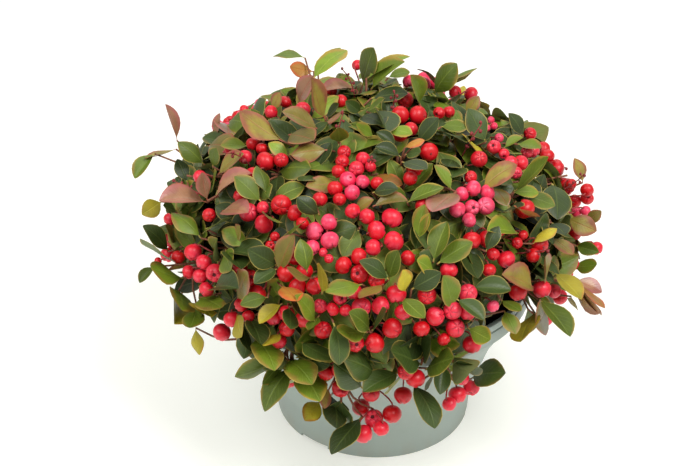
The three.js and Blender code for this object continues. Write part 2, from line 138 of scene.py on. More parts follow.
# What a shoot's and a berry's repeatable numbers are used for.
USE = {
    "turn": 1, "reach": 2, "roll": 3, "fork": 4, "bow": 5, "tint": 6, "size": 7, "tone": 8,
    "berry": 12, "swing": 20, "lift": 40, "shape": 60, "leaf": 80,
}
BERRY_USE = {
    "size": 1, "rise": 2, "lean": 3, "shape": 4, "turn": 5, "tone": 6, "window": 7,
    "star": 8, "aim": 9,
}
FLOWER_USE = {"lean": 31, "bud": 33}

# Long sprigs: turn and tilt in degrees, reach, leaves and tint.
SPRIGS = [
    (165, 15, 1.14, 1, "fresh"), (100, 14, 1.03, 1, "fresh"), (50, 30, 0.96, 2, "mid"),
    (190, 60, 0.98, 0, "mid"), (357, 61, 1.01, 1, "mid"), (207, 88, 0.97, 3, "mid"),
    (246, 106, 0.93, 3, "mid"), (262, 122, 0.99, 4, "deep"), (276, 116, 0.94, 3, "deep"),
    (293, 104, 0.94, 3, "deep"), (334, 91, 1.00, 4, "bronze"),
]
PHOTO_WIDTH = 700
PHOTO_HEIGHT = 466
SENSOR_WIDTH = 36.0  # millimetres
REACH_STEP = 0.01  # how a sight line that passes by the crown widens it till they meet
FARTHEST_REACH = 2.0

# The berries that the photograph shows, by cluster: the tone, then for each berry the
# pixel column and row of its middle, and its size against a ripe berry's.
SEEN_BERRIES = [
    ("rose", [(455, 92, 0.90), (471, 94, 1.00)]),
    ("scarlet", [(405, 100, 1.10), (401, 115, 1.15), (417, 115, 1.20)]),
    ("scarlet", [(400, 134, 1.00), (411, 129, 0.90)]),
    ("scarlet", [(439, 113, 0.80), (449, 112, 0.80)]), ("scarlet", [(429, 152, 1.15)]),
    ("scarlet", [(479, 159, 1.05)]),
    ("pale", [(491, 120, 0.50), (494, 126, 0.50), (487, 128, 0.45), (499, 138, 0.60)]),
    ("rose", [(497, 149, 0.90), (502, 153, 0.70)]), ("scarlet", [(530, 134, 0.90)]),
    ("rose", [(527, 152, 0.80), (533, 151, 0.90)]),
    ("rose", [(511, 163, 0.90), (520, 163, 1.00), (515, 171, 0.80)]),
    ("scarlet", [(571, 184, 0.75), (587, 190, 0.90), (587, 198, 0.90), (575, 201, 0.90)]),
    ("pale", [(566, 209, 0.55), (577, 212, 0.70), (585, 211, 0.70)]),
    ("scarlet", [(575, 233, 0.95)]), ("rose", [(596, 248, 0.90)]), ("scarlet", [(525, 209, 1.25)]),
    ("pale", [(474, 187, 1.00), (486, 192, 1.00), (462, 194, 0.90)]),
    ("pale", [(485, 206, 1.10), (458, 210, 1.00), (472, 210, 0.95), (469, 217, 0.90)]),
    ("scarlet", [(471, 179, 0.80)]),
    ("scarlet", [(472, 240, 1.10), (490, 238, 1.20), (497, 231, 0.90)]),
    ("rose", [(506, 259, 1.10)]), ("scarlet", [(489, 270, 0.85), (493, 253, 0.80)]),
    ("scarlet", [(517, 243, 0.70), (523, 235, 0.65)]),
    ("scarlet", [(539, 246, 1.10), (534, 254, 0.90)]),
    ("rose", [(542, 289, 1.15), (554, 291, 0.90), (560, 297, 1.00)]),
    ("scarlet", [(518, 292, 1.10)]), ("rose", [(573, 266, 0.75), (569, 272, 0.70)]),
    ("rose", [(545, 318, 1.05)]), ("pale", [(493, 306, 0.75)]), ("rose", [(449, 270, 1.05)]),
    ("scarlet", [(427, 295, 1.10)]), ("rose", [(468, 293, 1.10)]),
    ("rose", [(453, 311, 1.10), (466, 312, 1.00), (454, 329, 1.15), (435, 317, 1.15)]),
    ("scarlet", [(423, 327, 1.00), (445, 338, 0.80)]), ("rose", [(472, 344, 1.15)]),
    ("scarlet", [(415, 169, 1.05), (411, 177, 0.90)]), ("scarlet", [(424, 206, 1.05)]),
    ("scarlet", [(285, 102, 0.85)]), ("rose", [(303, 109, 1.00)]),
    ("rose", [(244, 110, 0.70), (271, 112, 0.90)]),
    ("scarlet", [(253, 144, 0.90), (262, 149, 0.80)]),
    ("rose", [(231, 150, 0.85), (245, 157, 0.90)]),
    ("scarlet", [(266, 161, 1.20), (254, 176, 1.15), (281, 160, 0.90)]),
    ("scarlet", [(296, 138, 0.70)]), ("scarlet", [(240, 196, 0.85)]),
    ("rose", [(249, 212, 1.15), (264, 224, 1.15), (262, 208, 0.80)]),
    ("scarlet", [(283, 206, 1.25), (293, 212, 1.00)]), ("rose", [(200, 177, 0.90)]),
    ("scarlet", [(209, 215, 0.85)]), ("rose", [(170, 219, 0.85)]),
    ("rose", [(193, 252, 1.10), (204, 262, 1.00), (215, 273, 1.15)]),
    ("scarlet", [(178, 257, 0.90), (158, 261, 0.50)]),
    ("rose", [(189, 272, 0.90), (201, 277, 0.95), (206, 288, 0.95)]),
    ("scarlet", [(231, 272, 1.00), (239, 267, 0.90)]),
    ("scarlet", [(251, 281, 1.10), (256, 291, 1.10)]),
    ("scarlet", [(241, 305, 0.85), (248, 316, 0.80)]),
    ("rose", [(232, 319, 1.05), (222, 332, 1.15)]),
    ("scarlet", [(274, 238, 0.60), (271, 244, 0.60), (275, 254, 0.60)]),
    ("pale", [(315, 231, 1.10), (326, 224, 1.00), (329, 240, 1.10), (315, 247, 1.00)]),
    ("rose", [(322, 253, 0.55), (326, 256, 0.55)]), ("scarlet", [(305, 225, 0.80)]),
    ("scarlet", [(298, 257, 1.10), (287, 274, 1.10), (303, 270, 1.00)]),
    ("scarlet", [(298, 284, 1.05), (314, 286, 1.05)]),
    ("rose", [(325, 307, 0.85), (334, 308, 0.80), (341, 309, 0.75), (343, 297, 0.85)]),
    ("rose", [(285, 314, 1.00), (275, 317, 0.95)]), ("scarlet", [(287, 328, 1.00)]),
    ("scarlet", [(305, 319, 1.15)]), ("scarlet", [(323, 330, 1.05)]), ("rose", [(279, 341, 0.95)]),
    ("rose", [(357, 65, 0.75)]), ("scarlet", [(332, 91, 0.70), (341, 101, 0.85)]),
    ("scarlet", [(344, 153, 0.85), (342, 162, 0.85), (341, 172, 0.85)]),
    ("rose", [(363, 160, 0.90), (357, 168, 0.95), (370, 166, 0.70)]),
    ("pale", [(348, 179, 1.00), (359, 181, 0.85), (351, 193, 0.95)]),
    ("scarlet", [(337, 189, 0.95), (340, 197, 0.80)]), ("scarlet", [(320, 199, 0.90)]),
    ("rose", [(355, 212, 0.95), (365, 216, 0.95)]), ("rose", [(392, 218, 1.25)]),
    ("rose", [(376, 231, 1.15), (373, 247, 1.00)]), ("rose", [(394, 241, 1.20)]),
    ("scarlet", [(377, 183, 0.80)]),
    ("scarlet", [(359, 259, 1.00), (345, 266, 1.05), (359, 275, 1.10), (374, 279, 1.00)]),
    ("scarlet", [(408, 258, 0.90)]),
    ("rose", [(354, 292, 1.00), (362, 303, 1.15), (379, 304, 1.10)]),
    ("rose", [(394, 296, 1.20), (403, 311, 1.05)]),
    ("scarlet", [(392, 328, 1.20), (374, 343, 1.20), (356, 343, 1.10)]),
    ("scarlet", [(328, 372, 1.00), (339, 370, 1.10), (341, 388, 1.15)]),
    ("rose", [(289, 380, 1.00)]),
    ("scarlet", [(371, 393, 1.10), (361, 407, 1.15), (391, 414, 1.20)]),
    ("rose", [(373, 421, 1.20), (381, 428, 1.00), (365, 431, 1.20)]),
    ("scarlet", [(406, 372, 1.00), (415, 378, 1.20), (403, 395, 1.15)]),
    ("rose", [(457, 395, 1.15), (471, 388, 1.05), (462, 378, 0.90), (450, 403, 0.90)]),
]
# Enlarged parts of the photograph that its leaves were read from: left pixel column, top
# pixel row and enlargement.
PHOTO_PARTS = {
    "left": (130, 60, 5.225),
    "middle": (300, 60, 7.84),
    "right": (420, 60, 5.225),
    "bottom": (230, 250, 5.227),
    "whole": (0, 0, 1.0),
}
# Leaves that the photograph shows, by part and tint. Each has the column and row of its root,
# the same of its tip, and its width across, all read in the part's own pixels.
SEEN_LEAVES = {
    "left": {
        "deep": [
            (770, 1075, 635, 1000, 125), (770, 1090, 650, 1150, 75), (620, 1345, 700, 1455, 90),
            (590, 1380, 605, 1540, 75), (300, 640, 250, 515, 75), (245, 790, 155, 765, 75),
            (200, 1000, 130, 850, 75), (510, 1000, 730, 990, 90), (500, 1000, 590, 1050, 60),
            (440, 1190, 520, 1150, 65), (990, 810, 900, 740, 100), (830, 1290, 850, 1395, 70),
            (860, 1210, 930, 1330, 80),
        ],
        "mid": [
            (720, 1240, 585, 1250, 80), (650, 1460, 790, 1525, 65), (130, 490, 10, 600, 75),
            (385, 545, 300, 425, 95), (430, 555, 440, 465, 55), (615, 450, 475, 430, 65),
            (520, 320, 600, 270, 45), (685, 740, 560, 600, 95), (712, 700, 700, 530, 85),
            (370, 930, 255, 755, 100), (395, 880, 525, 870, 75), (500, 990, 500, 1090, 60),
            (280, 1140, 88, 1105, 90), (130, 1080, 42, 1150, 55), (255, 1205, 310, 1300, 60),
            (350, 1280, 320, 1425, 105), (365, 1240, 555, 1290, 90), (820, 900, 925, 870, 50),
            (695, 800, 755, 880, 48), (985, 1340, 940, 1430, 70), (965, 1370, 940, 1230, 58),
        ],
        "fresh": [(925, 1110, 925, 950, 100), (830, 500, 725, 430, 70), (740, 750, 872, 620, 85)],
        "yellow": [
            (795, 1275, 668, 1355, 75), (790, 1430, 695, 1475, 45), (165, 740, 75, 800, 90),
            (260, 980, 400, 1090, 65), (240, 1270, 280, 1350, 42), (345, 1400, 320, 1540, 65),
            (345, 1270, 500, 1320, 48), (560, 1330, 560, 1440, 45),
        ],
        "orange": [(790, 1180, 880, 1240, 75), (960, 60, 825, 45, 75)],
        "bronze": [
            (775, 1110, 830, 915, 100), (950, 1140, 805, 1110, 50), (240, 465, 85, 545, 45),
            (460, 600, 565, 475, 55), (410, 450, 510, 390, 60), (800, 425, 555, 300, 105),
            (745, 260, 775, 172, 55), (985, 365, 820, 250, 80), (830, 390, 945, 390, 80),
            (1035, 470, 845, 460, 110), (1020, 310, 920, 105, 120), (240, 960, 160, 870, 60),
            (560, 940, 600, 860, 65), (560, 1250, 590, 1110, 70),
        ],
        "rosy": [
            (245, 420, 215, 225, 50), (455, 395, 452, 275, 42), (500, 330, 570, 385, 45),
            (880, 225, 930, 90, 80), (400, 745, 185, 690, 85), (405, 735, 360, 590, 70),
            (445, 720, 590, 562, 60), (480, 790, 595, 760, 55),
        ],
    },
    "middle": {
        "deep": [
            (920, 650, 1060, 450, 125), (570, 1040, 750, 990, 105), (800, 800, 990, 820, 75),
            (830, 740, 935, 710, 65), (790, 760, 615, 655, 95), (750, 680, 620, 550, 90),
            (480, 410, 370, 330, 105), (200, 450, 330, 350, 80), (560, 300, 830, 230, 110),
            (480, 430, 650, 460, 90), (600, 390, 730, 500, 75),
        ],
        "mid": [
            (935, 345, 925, 140, 95), (925, 1395, 950, 1130, 120), (580, 600, 420, 500, 115),
            (490, 200, 545, -80, 130), (690, 140, 845, 45, 75), (520, 405, 680, 315, 60),
        ],
        "fresh": [
            (930, 1400, 1045, 1205, 100), (840, 1120, 1110, 960, 110), (700, 560, 850, 520, 70),
            (310, 650, 300, 490, 180), (440, 200, 130, 150, 80), (490, 205, 580, 100, 62),
            (560, 230, 740, 0, 125),
        ],
        "orange": [(510, 970, 790, 880, 105), (820, 690, 940, 580, 60)],
        "bronze": [
            (325, 970, 50, 970, 130), (420, 1200, 555, 1080, 90), (570, 1150, 825, 1060, 100),
        ],
        "rosy": [(200, 490, 375, 420, 70), (450, 240, 180, 180, 45)],
    },
    "right": {
        "deep": [
            (345, 430, 260, 255, 110), (245, 395, 75, 425, 60), (540, 400, 505, 275, 65),
            (690, 645, 765, 770, 115), (500, 740, 440, 850, 90), (345, 1000, 380, 870, 80),
            (200, 1200, 220, 1005, 85), (270, 1190, 478, 1180, 110), (190, 1250, 345, 1340, 90),
            (690, 850, 760, 890, 60),
        ],
        "mid": [
            (75, 180, 115, 45, 105), (60, 215, 225, 235, 45), (110, 350, 240, 320, 60),
            (440, 460, 530, 390, 50), (510, 440, 628, 440, 50), (165, 680, 95, 540, 60),
            (530, 700, 710, 750, 80), (90, 1065, 265, 940, 100), (170, 1300, 150, 1140, 100),
            (425, 1255, 530, 1300, 45), (440, 1310, 505, 1420, 80), (620, 1250, 795, 1400, 90),
            (800, 1080, 938, 1078, 80), (815, 970, 920, 1000, 80),
        ],
        "fresh": [
            (490, 690, 693, 535, 90), (485, 695, 628, 660, 70), (510, 905, 385, 850, 60),
            (70, 1055, 120, 840, 110), (250, 1400, 382, 1470, 100), (75, 1110, 5, 1040, 65),
        ],
        "yellow": [
            (328, 460, 212, 440, 75), (590, 960, 685, 840, 60), (600, 1320, 472, 1475, 60),
            (700, 1110, 850, 1220, 85), (790, 1235, 800, 1315, 50),
        ],
        "orange": [(600, 820, 505, 820, 60)],
        "bronze": [
            (240, 280, 300, 200, 70), (325, 680, 450, 515, 95), (380, 670, 462, 712, 55),
            (850, 640, 840, 515, 65), (590, 1190, 455, 1075, 95), (660, 1160, 605, 1000, 85),
            (655, 1290, 645, 1385, 60), (690, 930, 805, 1000, 60), (770, 830, 915, 890, 100),
            (870, 850, 925, 800, 65),
        ],
        "rosy": [(190, 690, 62, 755, 75), (810, 1150, 958, 1200, 75)],
    },
    "bottom": {
        "deep": [
            (950, 205, 1080, 130, 110), (830, 155, 725, 30, 80), (365, 475, 560, 615, 110),
            (540, 380, 620, 590, 110), (740, 425, 850, 325, 60), (690, 720, 620, 565, 125),
            (760, 650, 700, 550, 100), (885, 640, 700, 710, 110), (1000, 600, 832, 500, 125),
            (1000, 590, 1110, 420, 110), (1120, 600, 1100, 740, 100), (950, 700, 1120, 855, 90),
            (1265, 670, 1412, 543, 80), (690, 870, 520, 1050, 110), (525, 760, 610, 840, 60),
        ],
        "mid": [
            (830, 155, 860, 5, 80), (690, 180, 505, 205, 90), (715, 430, 545, 450, 85),
            (730, 420, 690, 330, 75), (1020, 625, 1145, 550, 90), (1150, 640, 1340, 560, 110),
            (325, 610, 145, 770, 115), (300, 580, 415, 600, 80), (320, 690, 440, 720, 60),
        ],
        "fresh": [(895, 245, 1020, 375, 110), (360, 650, 470, 690, 85)],
        "yellow": [(915, 220, 920, 115, 65), (480, 230, 500, 60, 75), (470, 790, 400, 880, 95)],
        "bronze": [(800, 180, 675, 235, 50), (490, 700, 505, 825, 60)],
    },
    "whole": {
        "mid": [(305, 58, 274, 45, 9)],
        "fresh": [(318, 72, 331, 40, 12)],
    },
}
# How far out things lie, as reaches: the seen berries, the seen leaves' roots and tips, and
# at most the other leaves where the seen ones are.
SEEN_REACH = 0.95
SEEN_ROOT_REACH = 0.94
SEEN_TIP_REACH = 1.05
SHOWN_REACH = 0.99
SEEN_DEPTH = 0.09  # how much further in the seen berries' twigs end
SHOWN_FACING = 0.1  # how squarely a place faces the camera where only seen berries grow
EDGE_FACING = -0.4  # how squarely it does where other leaves keep within SHOWN_REACH
SHOWN_MID_SHARE = 0.45  # share of mid green among the leaves behind the seen ones
SEEN_LEAF_SIZES = (0.015, 0.036)  # shortest and longest of the seen leaves
NARROWEST = 0.35  # least share of its width that a rolled seen leaf shows
SEEN_STEP = 0.0015  # how far a seen leaf moves along its sight line in a step
SEEN_STEPS = range(-8, 11)
HIDING_COST = 2  # what a tested point that hides something weighs, in steps
SEEN_CLEAR = 0.3  # share of a seen leaf's width that no other leaf hides
# Share of a seen berry's radius that no other leaf hides, by tone.
SEEN_WINDOWS = {"scarlet": 0.7, "rose": 0.8, "pale": 0.95}
# How near a leaf's tested points come to a berry, over its radius, to a seen leaf's middle
# and to a stalk.
BERRY_SPACE = 1.22
LEAF_SPACE = 0.0015
STALK_SPACE = 0.0022
# Where the photograph shows the pot through the leaves: pixel column, row and radius.
SEEN_GAPS = [
    (500, 333, 11), (511, 321, 10), (489, 346, 9), (521, 311, 7), (498, 320, 7), (512, 344, 9),
]
GAP_STEP = 0.007  # from one ball to the next along a gap's sight line
GAP_STEPS = 16

BERRY_SIZES = (0.78, 1.12)  # smallest and largest of the rule's berries, over a ripe one
BERRY_WINDOWS = (0.35, 0.95)  # share of their radius that no leaf hides
STAR_SHARE = 0.22  # share of the seen berries whose lobed end faces the camera
BERRY_APART = 1.5  # how far from the first berry of a cluster the others start, over a radius
BERRY_RISES = (0.2, 1.0)  # how far out from their twig's end, over a radius
PUSH_ROUNDS = 40
PUSH_SHARE = 0.45  # share of an overlap that each round takes away
PULL_SHARE = 0.05  # share of the way home that it goes back
TOUCHING = 0.99  # where two berries touch, over the sum of their radii
BERRY_POT_GAP = 0.001
BERRY_SHEEN = 0.2  # coat of the berries' wax
BERRY_SOFTNESS = 0.28  # roughness of that coat
BERRY_ROUGHNESS = 0.42
BERRY_RELIEF = 0.00008
STALK_HOLD = 0.75  # where in a berry's dimple its stalk ends, over the radius
STALK_BOW = 0.8  # how far it keeps that way
STALK_RADIUS = 0.0006
BUD_STALK_RADIUS = 0.00035
STALK_STEPS = 6
BUDS = 6  # on a dried flower stalk
BUD_STALK = 0.0022
BUD_SIZES = (0.0009, 0.0014)
FLOWER_DEPTH = 0.14  # how much further in a dried flower stalk's foot lies than its reach
FLOWER_RISE = 0.024
FLOWER_BOW = 0.016
FLOWER_LEAN = 0.009
# Dried flower stalks: turn and tilt in degrees, and reach of the foot.
FLOWER_STALKS = [
    (356, 67, 1.06), (350, 5, 1.02), (120, 12, 1.02), (206, 42, 1.03), (200, 62, 1.02),
    (238, 20, 1.00), (268, 28, 0.99), (330, 30, 1.02), (252, 112, 1.02), (318, 70, 1.00),
    (60, 50, 1.02), (120, 70, 1.02), (90, 30, 1.02), (150, 85, 1.02), (20, 84, 1.02),
]


def screen(red, green, blue):
    """A colour as it shows on screen, 0 to 255, as scene colour."""
    parts = [value / 255 for value in (red, green, blue)]
    return tuple(p / 12.92 if p <= 0.04045 else ((p + 0.055) / 1.055) ** 2.4 for p in parts)


def colour(name, value, about):
    """A colour that the user can change, given as it shows on screen."""
    return FloatVectorProperty(
        name=name, description=about, default=screen(*value), subtype="COLOR", min=0.0, max=1.0
    )


def length(name, value, about, least=0.0):
    """A length that the user can change, in metres."""
    return FloatProperty(
        name=name, description=about, default=value, unit="LENGTH", subtype="DISTANCE", min=least
    )


def number(name, value, about, **limits):
    """A plain number that the user can change."""
    return FloatProperty(name=name, description=about, default=value, **limits)


def count(name, value, about):
    """A whole number of pieces that the user can change."""
    return IntProperty(name=name, description=about, default=value, min=1)


class GaultheriaPotSettings(PropertyGroup):
    """Sizes and colours of the pot and the compost."""

    height: length("Height", POT_HEIGHT, "Height of the pot")
    collar_radius: length("Collar Radius", COLLAR_RADIUS, "Radius of the upright collar")
    collar_bottom: length("Collar Bottom", COLLAR_BOTTOM, "Height where the collar starts")
    rim_inner_radius: length("Rim Inner Radius", 0.1094, "Radius of the mouth")
    foot_radius: length("Foot Radius", FOOT_RADIUS, "Radius of the foot")
    wall: length("Wall", 0.0021, "Thickness of the wall")
    floor: length("Floor", 0.005, "Thickness of the floor")
    rounding: length("Rounding", 0.0007, "Radius of the rim's and the foot's edges")
    groove_height: length("Groove Height", 0.1192, "Height of the collar's groove")
    groove_width: length("Groove Width", 0.0018, "Width of the groove")
    groove_depth: length("Groove Depth", 0.0014, "Depth of the groove")
    drain_width: length("Drain Width", 0.025, "Width of a drain notch")
    drain_height: length("Drain Height", 0.003, "Height of a drain notch")
    grain: length("Grain", 0.00035, "Size of the plastic's fine grain")
    plastic: colour("Plastic", (151, 163, 156), "Grey-green plastic")
    compost_height: length("Compost Height", 0.1095, "Mean height of the compost")
    compost: colour("Compost", (52, 38, 29), "Moist compost")
    fibre: colour("Fibre", (112, 86, 62), "Dry crumbs and fibres in the compost")


class GaultheriaCrownSettings(PropertyGroup):
    """Sizes and numbers of the crown's shoots, leaves and berries."""

    radius: length("Radius", 0.156, "Level half width of the bulk")
    rise: length("Rise", 0.099, "Bulk above the crown's middle")
    drop: length("Drop", 0.120, "Bulk below the crown's middle")
    main_shoots: count("Main Shoots", 192, "Twigs that part at the hubs")
    fine_shoots: count("Fine Shoots", 250, "Outer shoots that branch off the main twigs")
    inner_shoots: count("Inner Shoots", 240, "Shaded shoots inside the crown")
    shoot_reach: number("Shoot Reach", 0.88, "Mean reach of the outer shoots")
    inner_reach: number("Inner Reach", 0.72, "Mean reach of the shaded shoots")
    leaves: count("Leaves", 5, "Leaves in a rosette")
    leaf_length: length("Leaf Length", 0.031, "Length of a full-grown leaf")
    leaf_breadth: number("Leaf Breadth", 0.6, "A leaf's width over its length")
    leaf_gap: length("Leaf Gap", 0.0045, "Least distance between the middles of two leaves")
    twig_radius: length("Twig Radius", 0.0015, "Radius of a main twig at its root")
    berry_radius: length("Berry Radius", 0.0055, "Radius of a ripe berry")
    berry_share: number("Berry Share", 0.3, "Share of the shoots that fruit", min=0.0, max=1.0)


class GaultheriaColourSettings(PropertyGroup):
    """Colours of the leaves, berries, twigs and bark."""

    deep: colour("Deep Green", (54, 70, 24), "Old leaves")
    mid: colour("Mid Green", (92, 110, 24), "Grown leaves")
    fresh: colour("Fresh Green", (108, 128, 32), "Young leaves")
    bronze: colour("Bronze", (130, 116, 48), "Leaves tinted by cold")
    rosy: colour("Rosy Bronze", (150, 108, 78), "Leaves flushed by cold")
    orange: colour("Orange", (160, 112, 44), "Leaves about to turn")
    yellow: colour("Yellow Green", (178, 163, 42), "Fading leaves")
    shade: colour("Shaded Green", (34, 38, 14), "Leaves inside the crown")
    scarlet: colour("Scarlet", (194, 0, 8), "Ripe berries")
    rose: colour("Rose", (210, 4, 28), "Berries with a pink bloom")
    pale: colour("Pale Rose", (222, 34, 74), "Berries that still colour up")
    twig: colour("Twig", (112, 66, 44), "Young woody twigs")
    stalk: colour("Stalk", (148, 54, 50), "Red leaf and flower stalks")
    bark: colour("Bark", (96, 68, 50), "Bark of the stem and boughs")


class GaultheriaStageSettings(PropertyGroup):
    """The floor, the light and the camera."""

    focal_length: number("Focal Length", 67.83, "Camera focal length in millimetres")
    camera_side: length("Camera Side", -0.02138, "Camera place from left to right", -1.0)
    camera_back: length("Camera Back", 0.827482, "Camera distance in front of the pot's axis")
    camera_height: length("Camera Height", 0.643393, "Camera height")
    pitch: number("Pitch", math.radians(30.873), "How far the camera looks down", subtype="ANGLE")
    roll: number("Roll", math.radians(1.561), "How far the camera leans", subtype="ANGLE")
    floor: colour("Floor", (232, 232, 226), "Pale floor")
    floor_glow: number("Floor Glow", 0.35, "Light from below")
    sky: colour("Sky", (250, 251, 248), "Light from all round")
    sky_strength: number("Sky Strength", 0.46, "Strength of the light from all round")
    key_power: number("Key Power", 18.0, "Watts of the key light")
    fill_power: number("Fill Power", 12.5, "Watts of the fill light")
    back_power: number("Back Power", 5.0, "Watts of the light from behind")


def settings(context, part):
    """One of the property groups above."""
    return getattr(context.scene, "gaultheria_" + part)


def chance(thing, use):
    """A repeatable number from 0 to 1 for one thing and one use."""
    wave = math.sin(thing * 12.9898 + use * 78.233) * 43758.5453
    return wave - math.floor(wave)


def lerp(a, b, share):
    """The value a share of the way from a to b."""
    return a + (b - a) * share


def smooth_step(low, high, value):
    """Rises smoothly from 0 to 1 while the value goes from low to high, or back if low is more."""
    share = min(1.0, max(0.0, (value - low) / (high - low)))
    return share * share * (3 - 2 * share)


# Places in the crown


def depth_at(crown, height):
    """The bulk's half depth above or below the crown's middle."""
    return crown.rise if height > 0 else crown.drop


def crown_point(crown, turn, tilt, reach):
    """A place in the crown from its turn, tilt and reach."""
    height = math.cos(tilt)
    out = Vector((
        crown.radius * math.sin(tilt) * math.cos(turn),
        crown.radius * math.sin(tilt) * math.sin(turn),
        depth_at(crown, height) * height,
    ))
    return CROWN_MIDDLE + out * reach


def crown_reach(crown, point):
    """How far out a point lies, the inverse of crown_point's reach."""
    out = point - CROWN_MIDDLE
    height = out.z / depth_at(crown, out.z)
    return Vector((out.x / crown.radius, out.y / crown.radius, height)).length


def crown_place(crown, point):
    """The turn, tilt and reach of a point, the inverse of crown_point."""
    out = point - CROWN_MIDDLE
    tilt = math.atan2(out.xy.length / crown.radius, out.z / depth_at(crown, out.z))
    return math.atan2(out.y, out.x), tilt, crown_reach(crown, point)


def camera_axes(stage):
    """The camera's right, up and forward directions, and its place."""
    ahead = Vector((0.0, math.cos(stage.pitch), -math.sin(stage.pitch)))
    above = Vector((0.0, math.sin(stage.pitch), math.cos(stage.pitch)))
    side = RIGHT * math.cos(stage.roll) + above * math.sin(stage.roll)
    top = above * math.cos(stage.roll) - RIGHT * math.sin(stage.roll)
    eye = Vector((stage.camera_side, -stage.camera_back, stage.camera_height))
    return side, top, ahead, eye


def focal_pixels(stage):
    """The camera's focal length in the photograph's pixels."""
    return stage.focal_length / SENSOR_WIDTH * PHOTO_WIDTH


def seen_point(crown, stage, column, row, reach):
    """Where the sight line through a pixel meets the crown, or its edge if it passes by."""
    side, top, ahead, eye = camera_axes(stage)
    focal = focal_pixels(stage)
    across = side * ((column - PHOTO_WIDTH / 2) / focal)
    sight = ahead + across + top * ((PHOTO_HEIGHT / 2 - row) / focal)
    start = eye - CROWN_MIDDLE
    while reach < FARTHEST_REACH:
        for depth, upper in ((crown.rise, True), (crown.drop, False)):
            flat = crown.radius / depth
            way = Vector((sight.x, sight.y, sight.z * flat))
            begin = Vector((start.x, start.y, start.z * flat))
            half = begin.dot(way)
            past = begin.length_squared - (reach * crown.radius) ** 2
            spare = half ** 2 - way.length_squared * past
            if spare < 0:
                continue
            far = (-half - math.sqrt(spare)) / way.length_squared
            point = eye + sight * far
            if (point.z > CROWN_MIDDLE.z) == upper:
                return point
        reach += REACH_STEP
    raise RuntimeError(f"no sight line to the crown at {column}, {row}")


def crown_normal(crown, point):
    """The crown's outward direction at a point."""
    out = point - CROWN_MIDDLE
    out.z *= (crown.radius / depth_at(crown, out.z)) ** 2
    return out.normalized()


def angle_between(a, b):
    """The turn from b to a, between minus and plus half a turn."""
    return math.atan2(math.sin(a - b), math.cos(a - b))


def skirt_end(turn):
    """The lowest tilt of the skirt's shoots at a turn. It hangs lower over the front."""
    hang = math.exp(-((angle_between(turn, HANG_TURN) / HANG_HALF) ** 4))
    bare = math.exp(-((angle_between(turn, BARE_TURN) / BARE_HALF) ** 2))
    return SKIRT_TILT + HANG_DROP * hang - BARE_RISE * bare


def besides(heading, angle):
    """A direction square to a heading, at an angle round it."""
    side = RIGHT if abs(heading.z) > 0.9 else UP
    across = side.cross(heading).normalized()
    over = heading.cross(across)
    return across * math.cos(angle) + over * math.sin(angle)


@dataclass
class Mass:
    """A mass's space, and the hub where its twigs part."""

    name: str
    turn: float
    half_turn: float
    tilt_end: float
    stem_tilt: float
    bough_height: float


def list_masses():
    """The cap on top and the ring of side masses."""
    masses = [Mass("top", 0.0, math.pi, CAP_END, 0.0, STEM_HEIGHT)]
    half_turn = math.pi / SIDE_COUNT
    for i in range(SIDE_COUNT):
        turn = SIDE_TURN + (2 * i + 1) * half_turn
        height = BOUGH_HEIGHTS[i % 2]
        name = f"side_{i + 1}"
        masses.append(Mass(name, turn, half_turn, SIDE_END, SIDE_STEM_TILT, height))
    return masses


def mass_at(masses, turn, tilt):
    """The mass that holds a turn and a tilt."""
    for mass in masses:
        if tilt < mass.tilt_end and abs(angle_between(turn, mass.turn)) <= mass.half_turn:
            return mass
    return masses[1]


@dataclass
class Shoot:
    """A shoot: where it ends, and what it bears."""

    id: int
    turn: float
    tilt: float
    reach: float
    leaves: int = 5
    berries: int = 0
    tint: str = "mid"
    tone: str = "scarlet"
    layer: str = "outer"
    path: list = field(default_factory=list)
    seen: list = field(default_factory=list)
    tip: Vector = None
    breadth: float = 0.0
    facing: float = -1.0

    @property
    def shown(self):
        """True where the photograph shows the crown round the shoot."""
        return self.facing > SHOWN_FACING

    @property
    def end(self):
        return self.path[-1]

    @property
    def heading(self):
        return (self.path[-1] - self.path[-2]).normalized()


def spread(crown, count, reach, first_id=0):
    """Shoots spread evenly over the crown's surface, each a golden angle on."""
    ring_tilt = LOWEST_TILT / SPREAD_RINGS
    areas = [0.0]
    for i in range(SPREAD_RINGS):
        tilt = (i + 0.5) * ring_tilt
        depth = depth_at(crown, math.cos(tilt))
        slant = math.hypot(crown.radius * math.cos(tilt), depth * math.sin(tilt))
        areas.append(areas[-1] + math.sin(tilt) * slant)
    shoots = []
    for i in range(count):
        area = (i + 0.5) / count * areas[-1]
        ring = next(k for k, total in enumerate(areas) if total >= area) - 1
        tilt = (ring + (area - areas[ring]) / (areas[ring + 1] - areas[ring])) * ring_tilt
        turn = (i + first_id) * GOLDEN_ANGLE
        turn += (chance(i + first_id, USE["turn"]) - 0.5) * TURN_JITTER
        far = reach + (chance(i + first_id, USE["reach"]) - 0.5) * REACH_JITTER
        if tilt < skirt_end(turn):
            shoots.append(Shoot(i + first_id, turn, tilt, far))
    return shoots


TINT_SHARES = [
    # tint, its share at the sides, how much more on top, and more still at the top left
    ("bronze", 0.07, 0.14, 0.08),
    ("orange", 0.025, 0.0, 0.0),
    ("yellow", 0.05, 0.0, 0.0),
    ("fresh", 0.06, 0.10, 0.0),
    ("mid", 0.30, 0.10, 0.0),
]


def tint_for(shoot):
    """The tint of a shoot: fresher and more bronze on top, deeper below.

    Where the photograph shows the crown, the seen leaves bring the brighter tints.
    """
    roll = chance(shoot.id, USE["tint"])
    if shoot.shown:
        return "mid" if roll < SHOWN_MID_SHARE else "deep"
    height = max(0.0, math.cos(shoot.tilt))
    left = max(0.0, -math.cos(shoot.turn))
    for tint, share, top, top_left in TINT_SHARES:
        roll -= share + top * height + top_left * left * height
        if roll < 0:
            return tint
    return "deep"


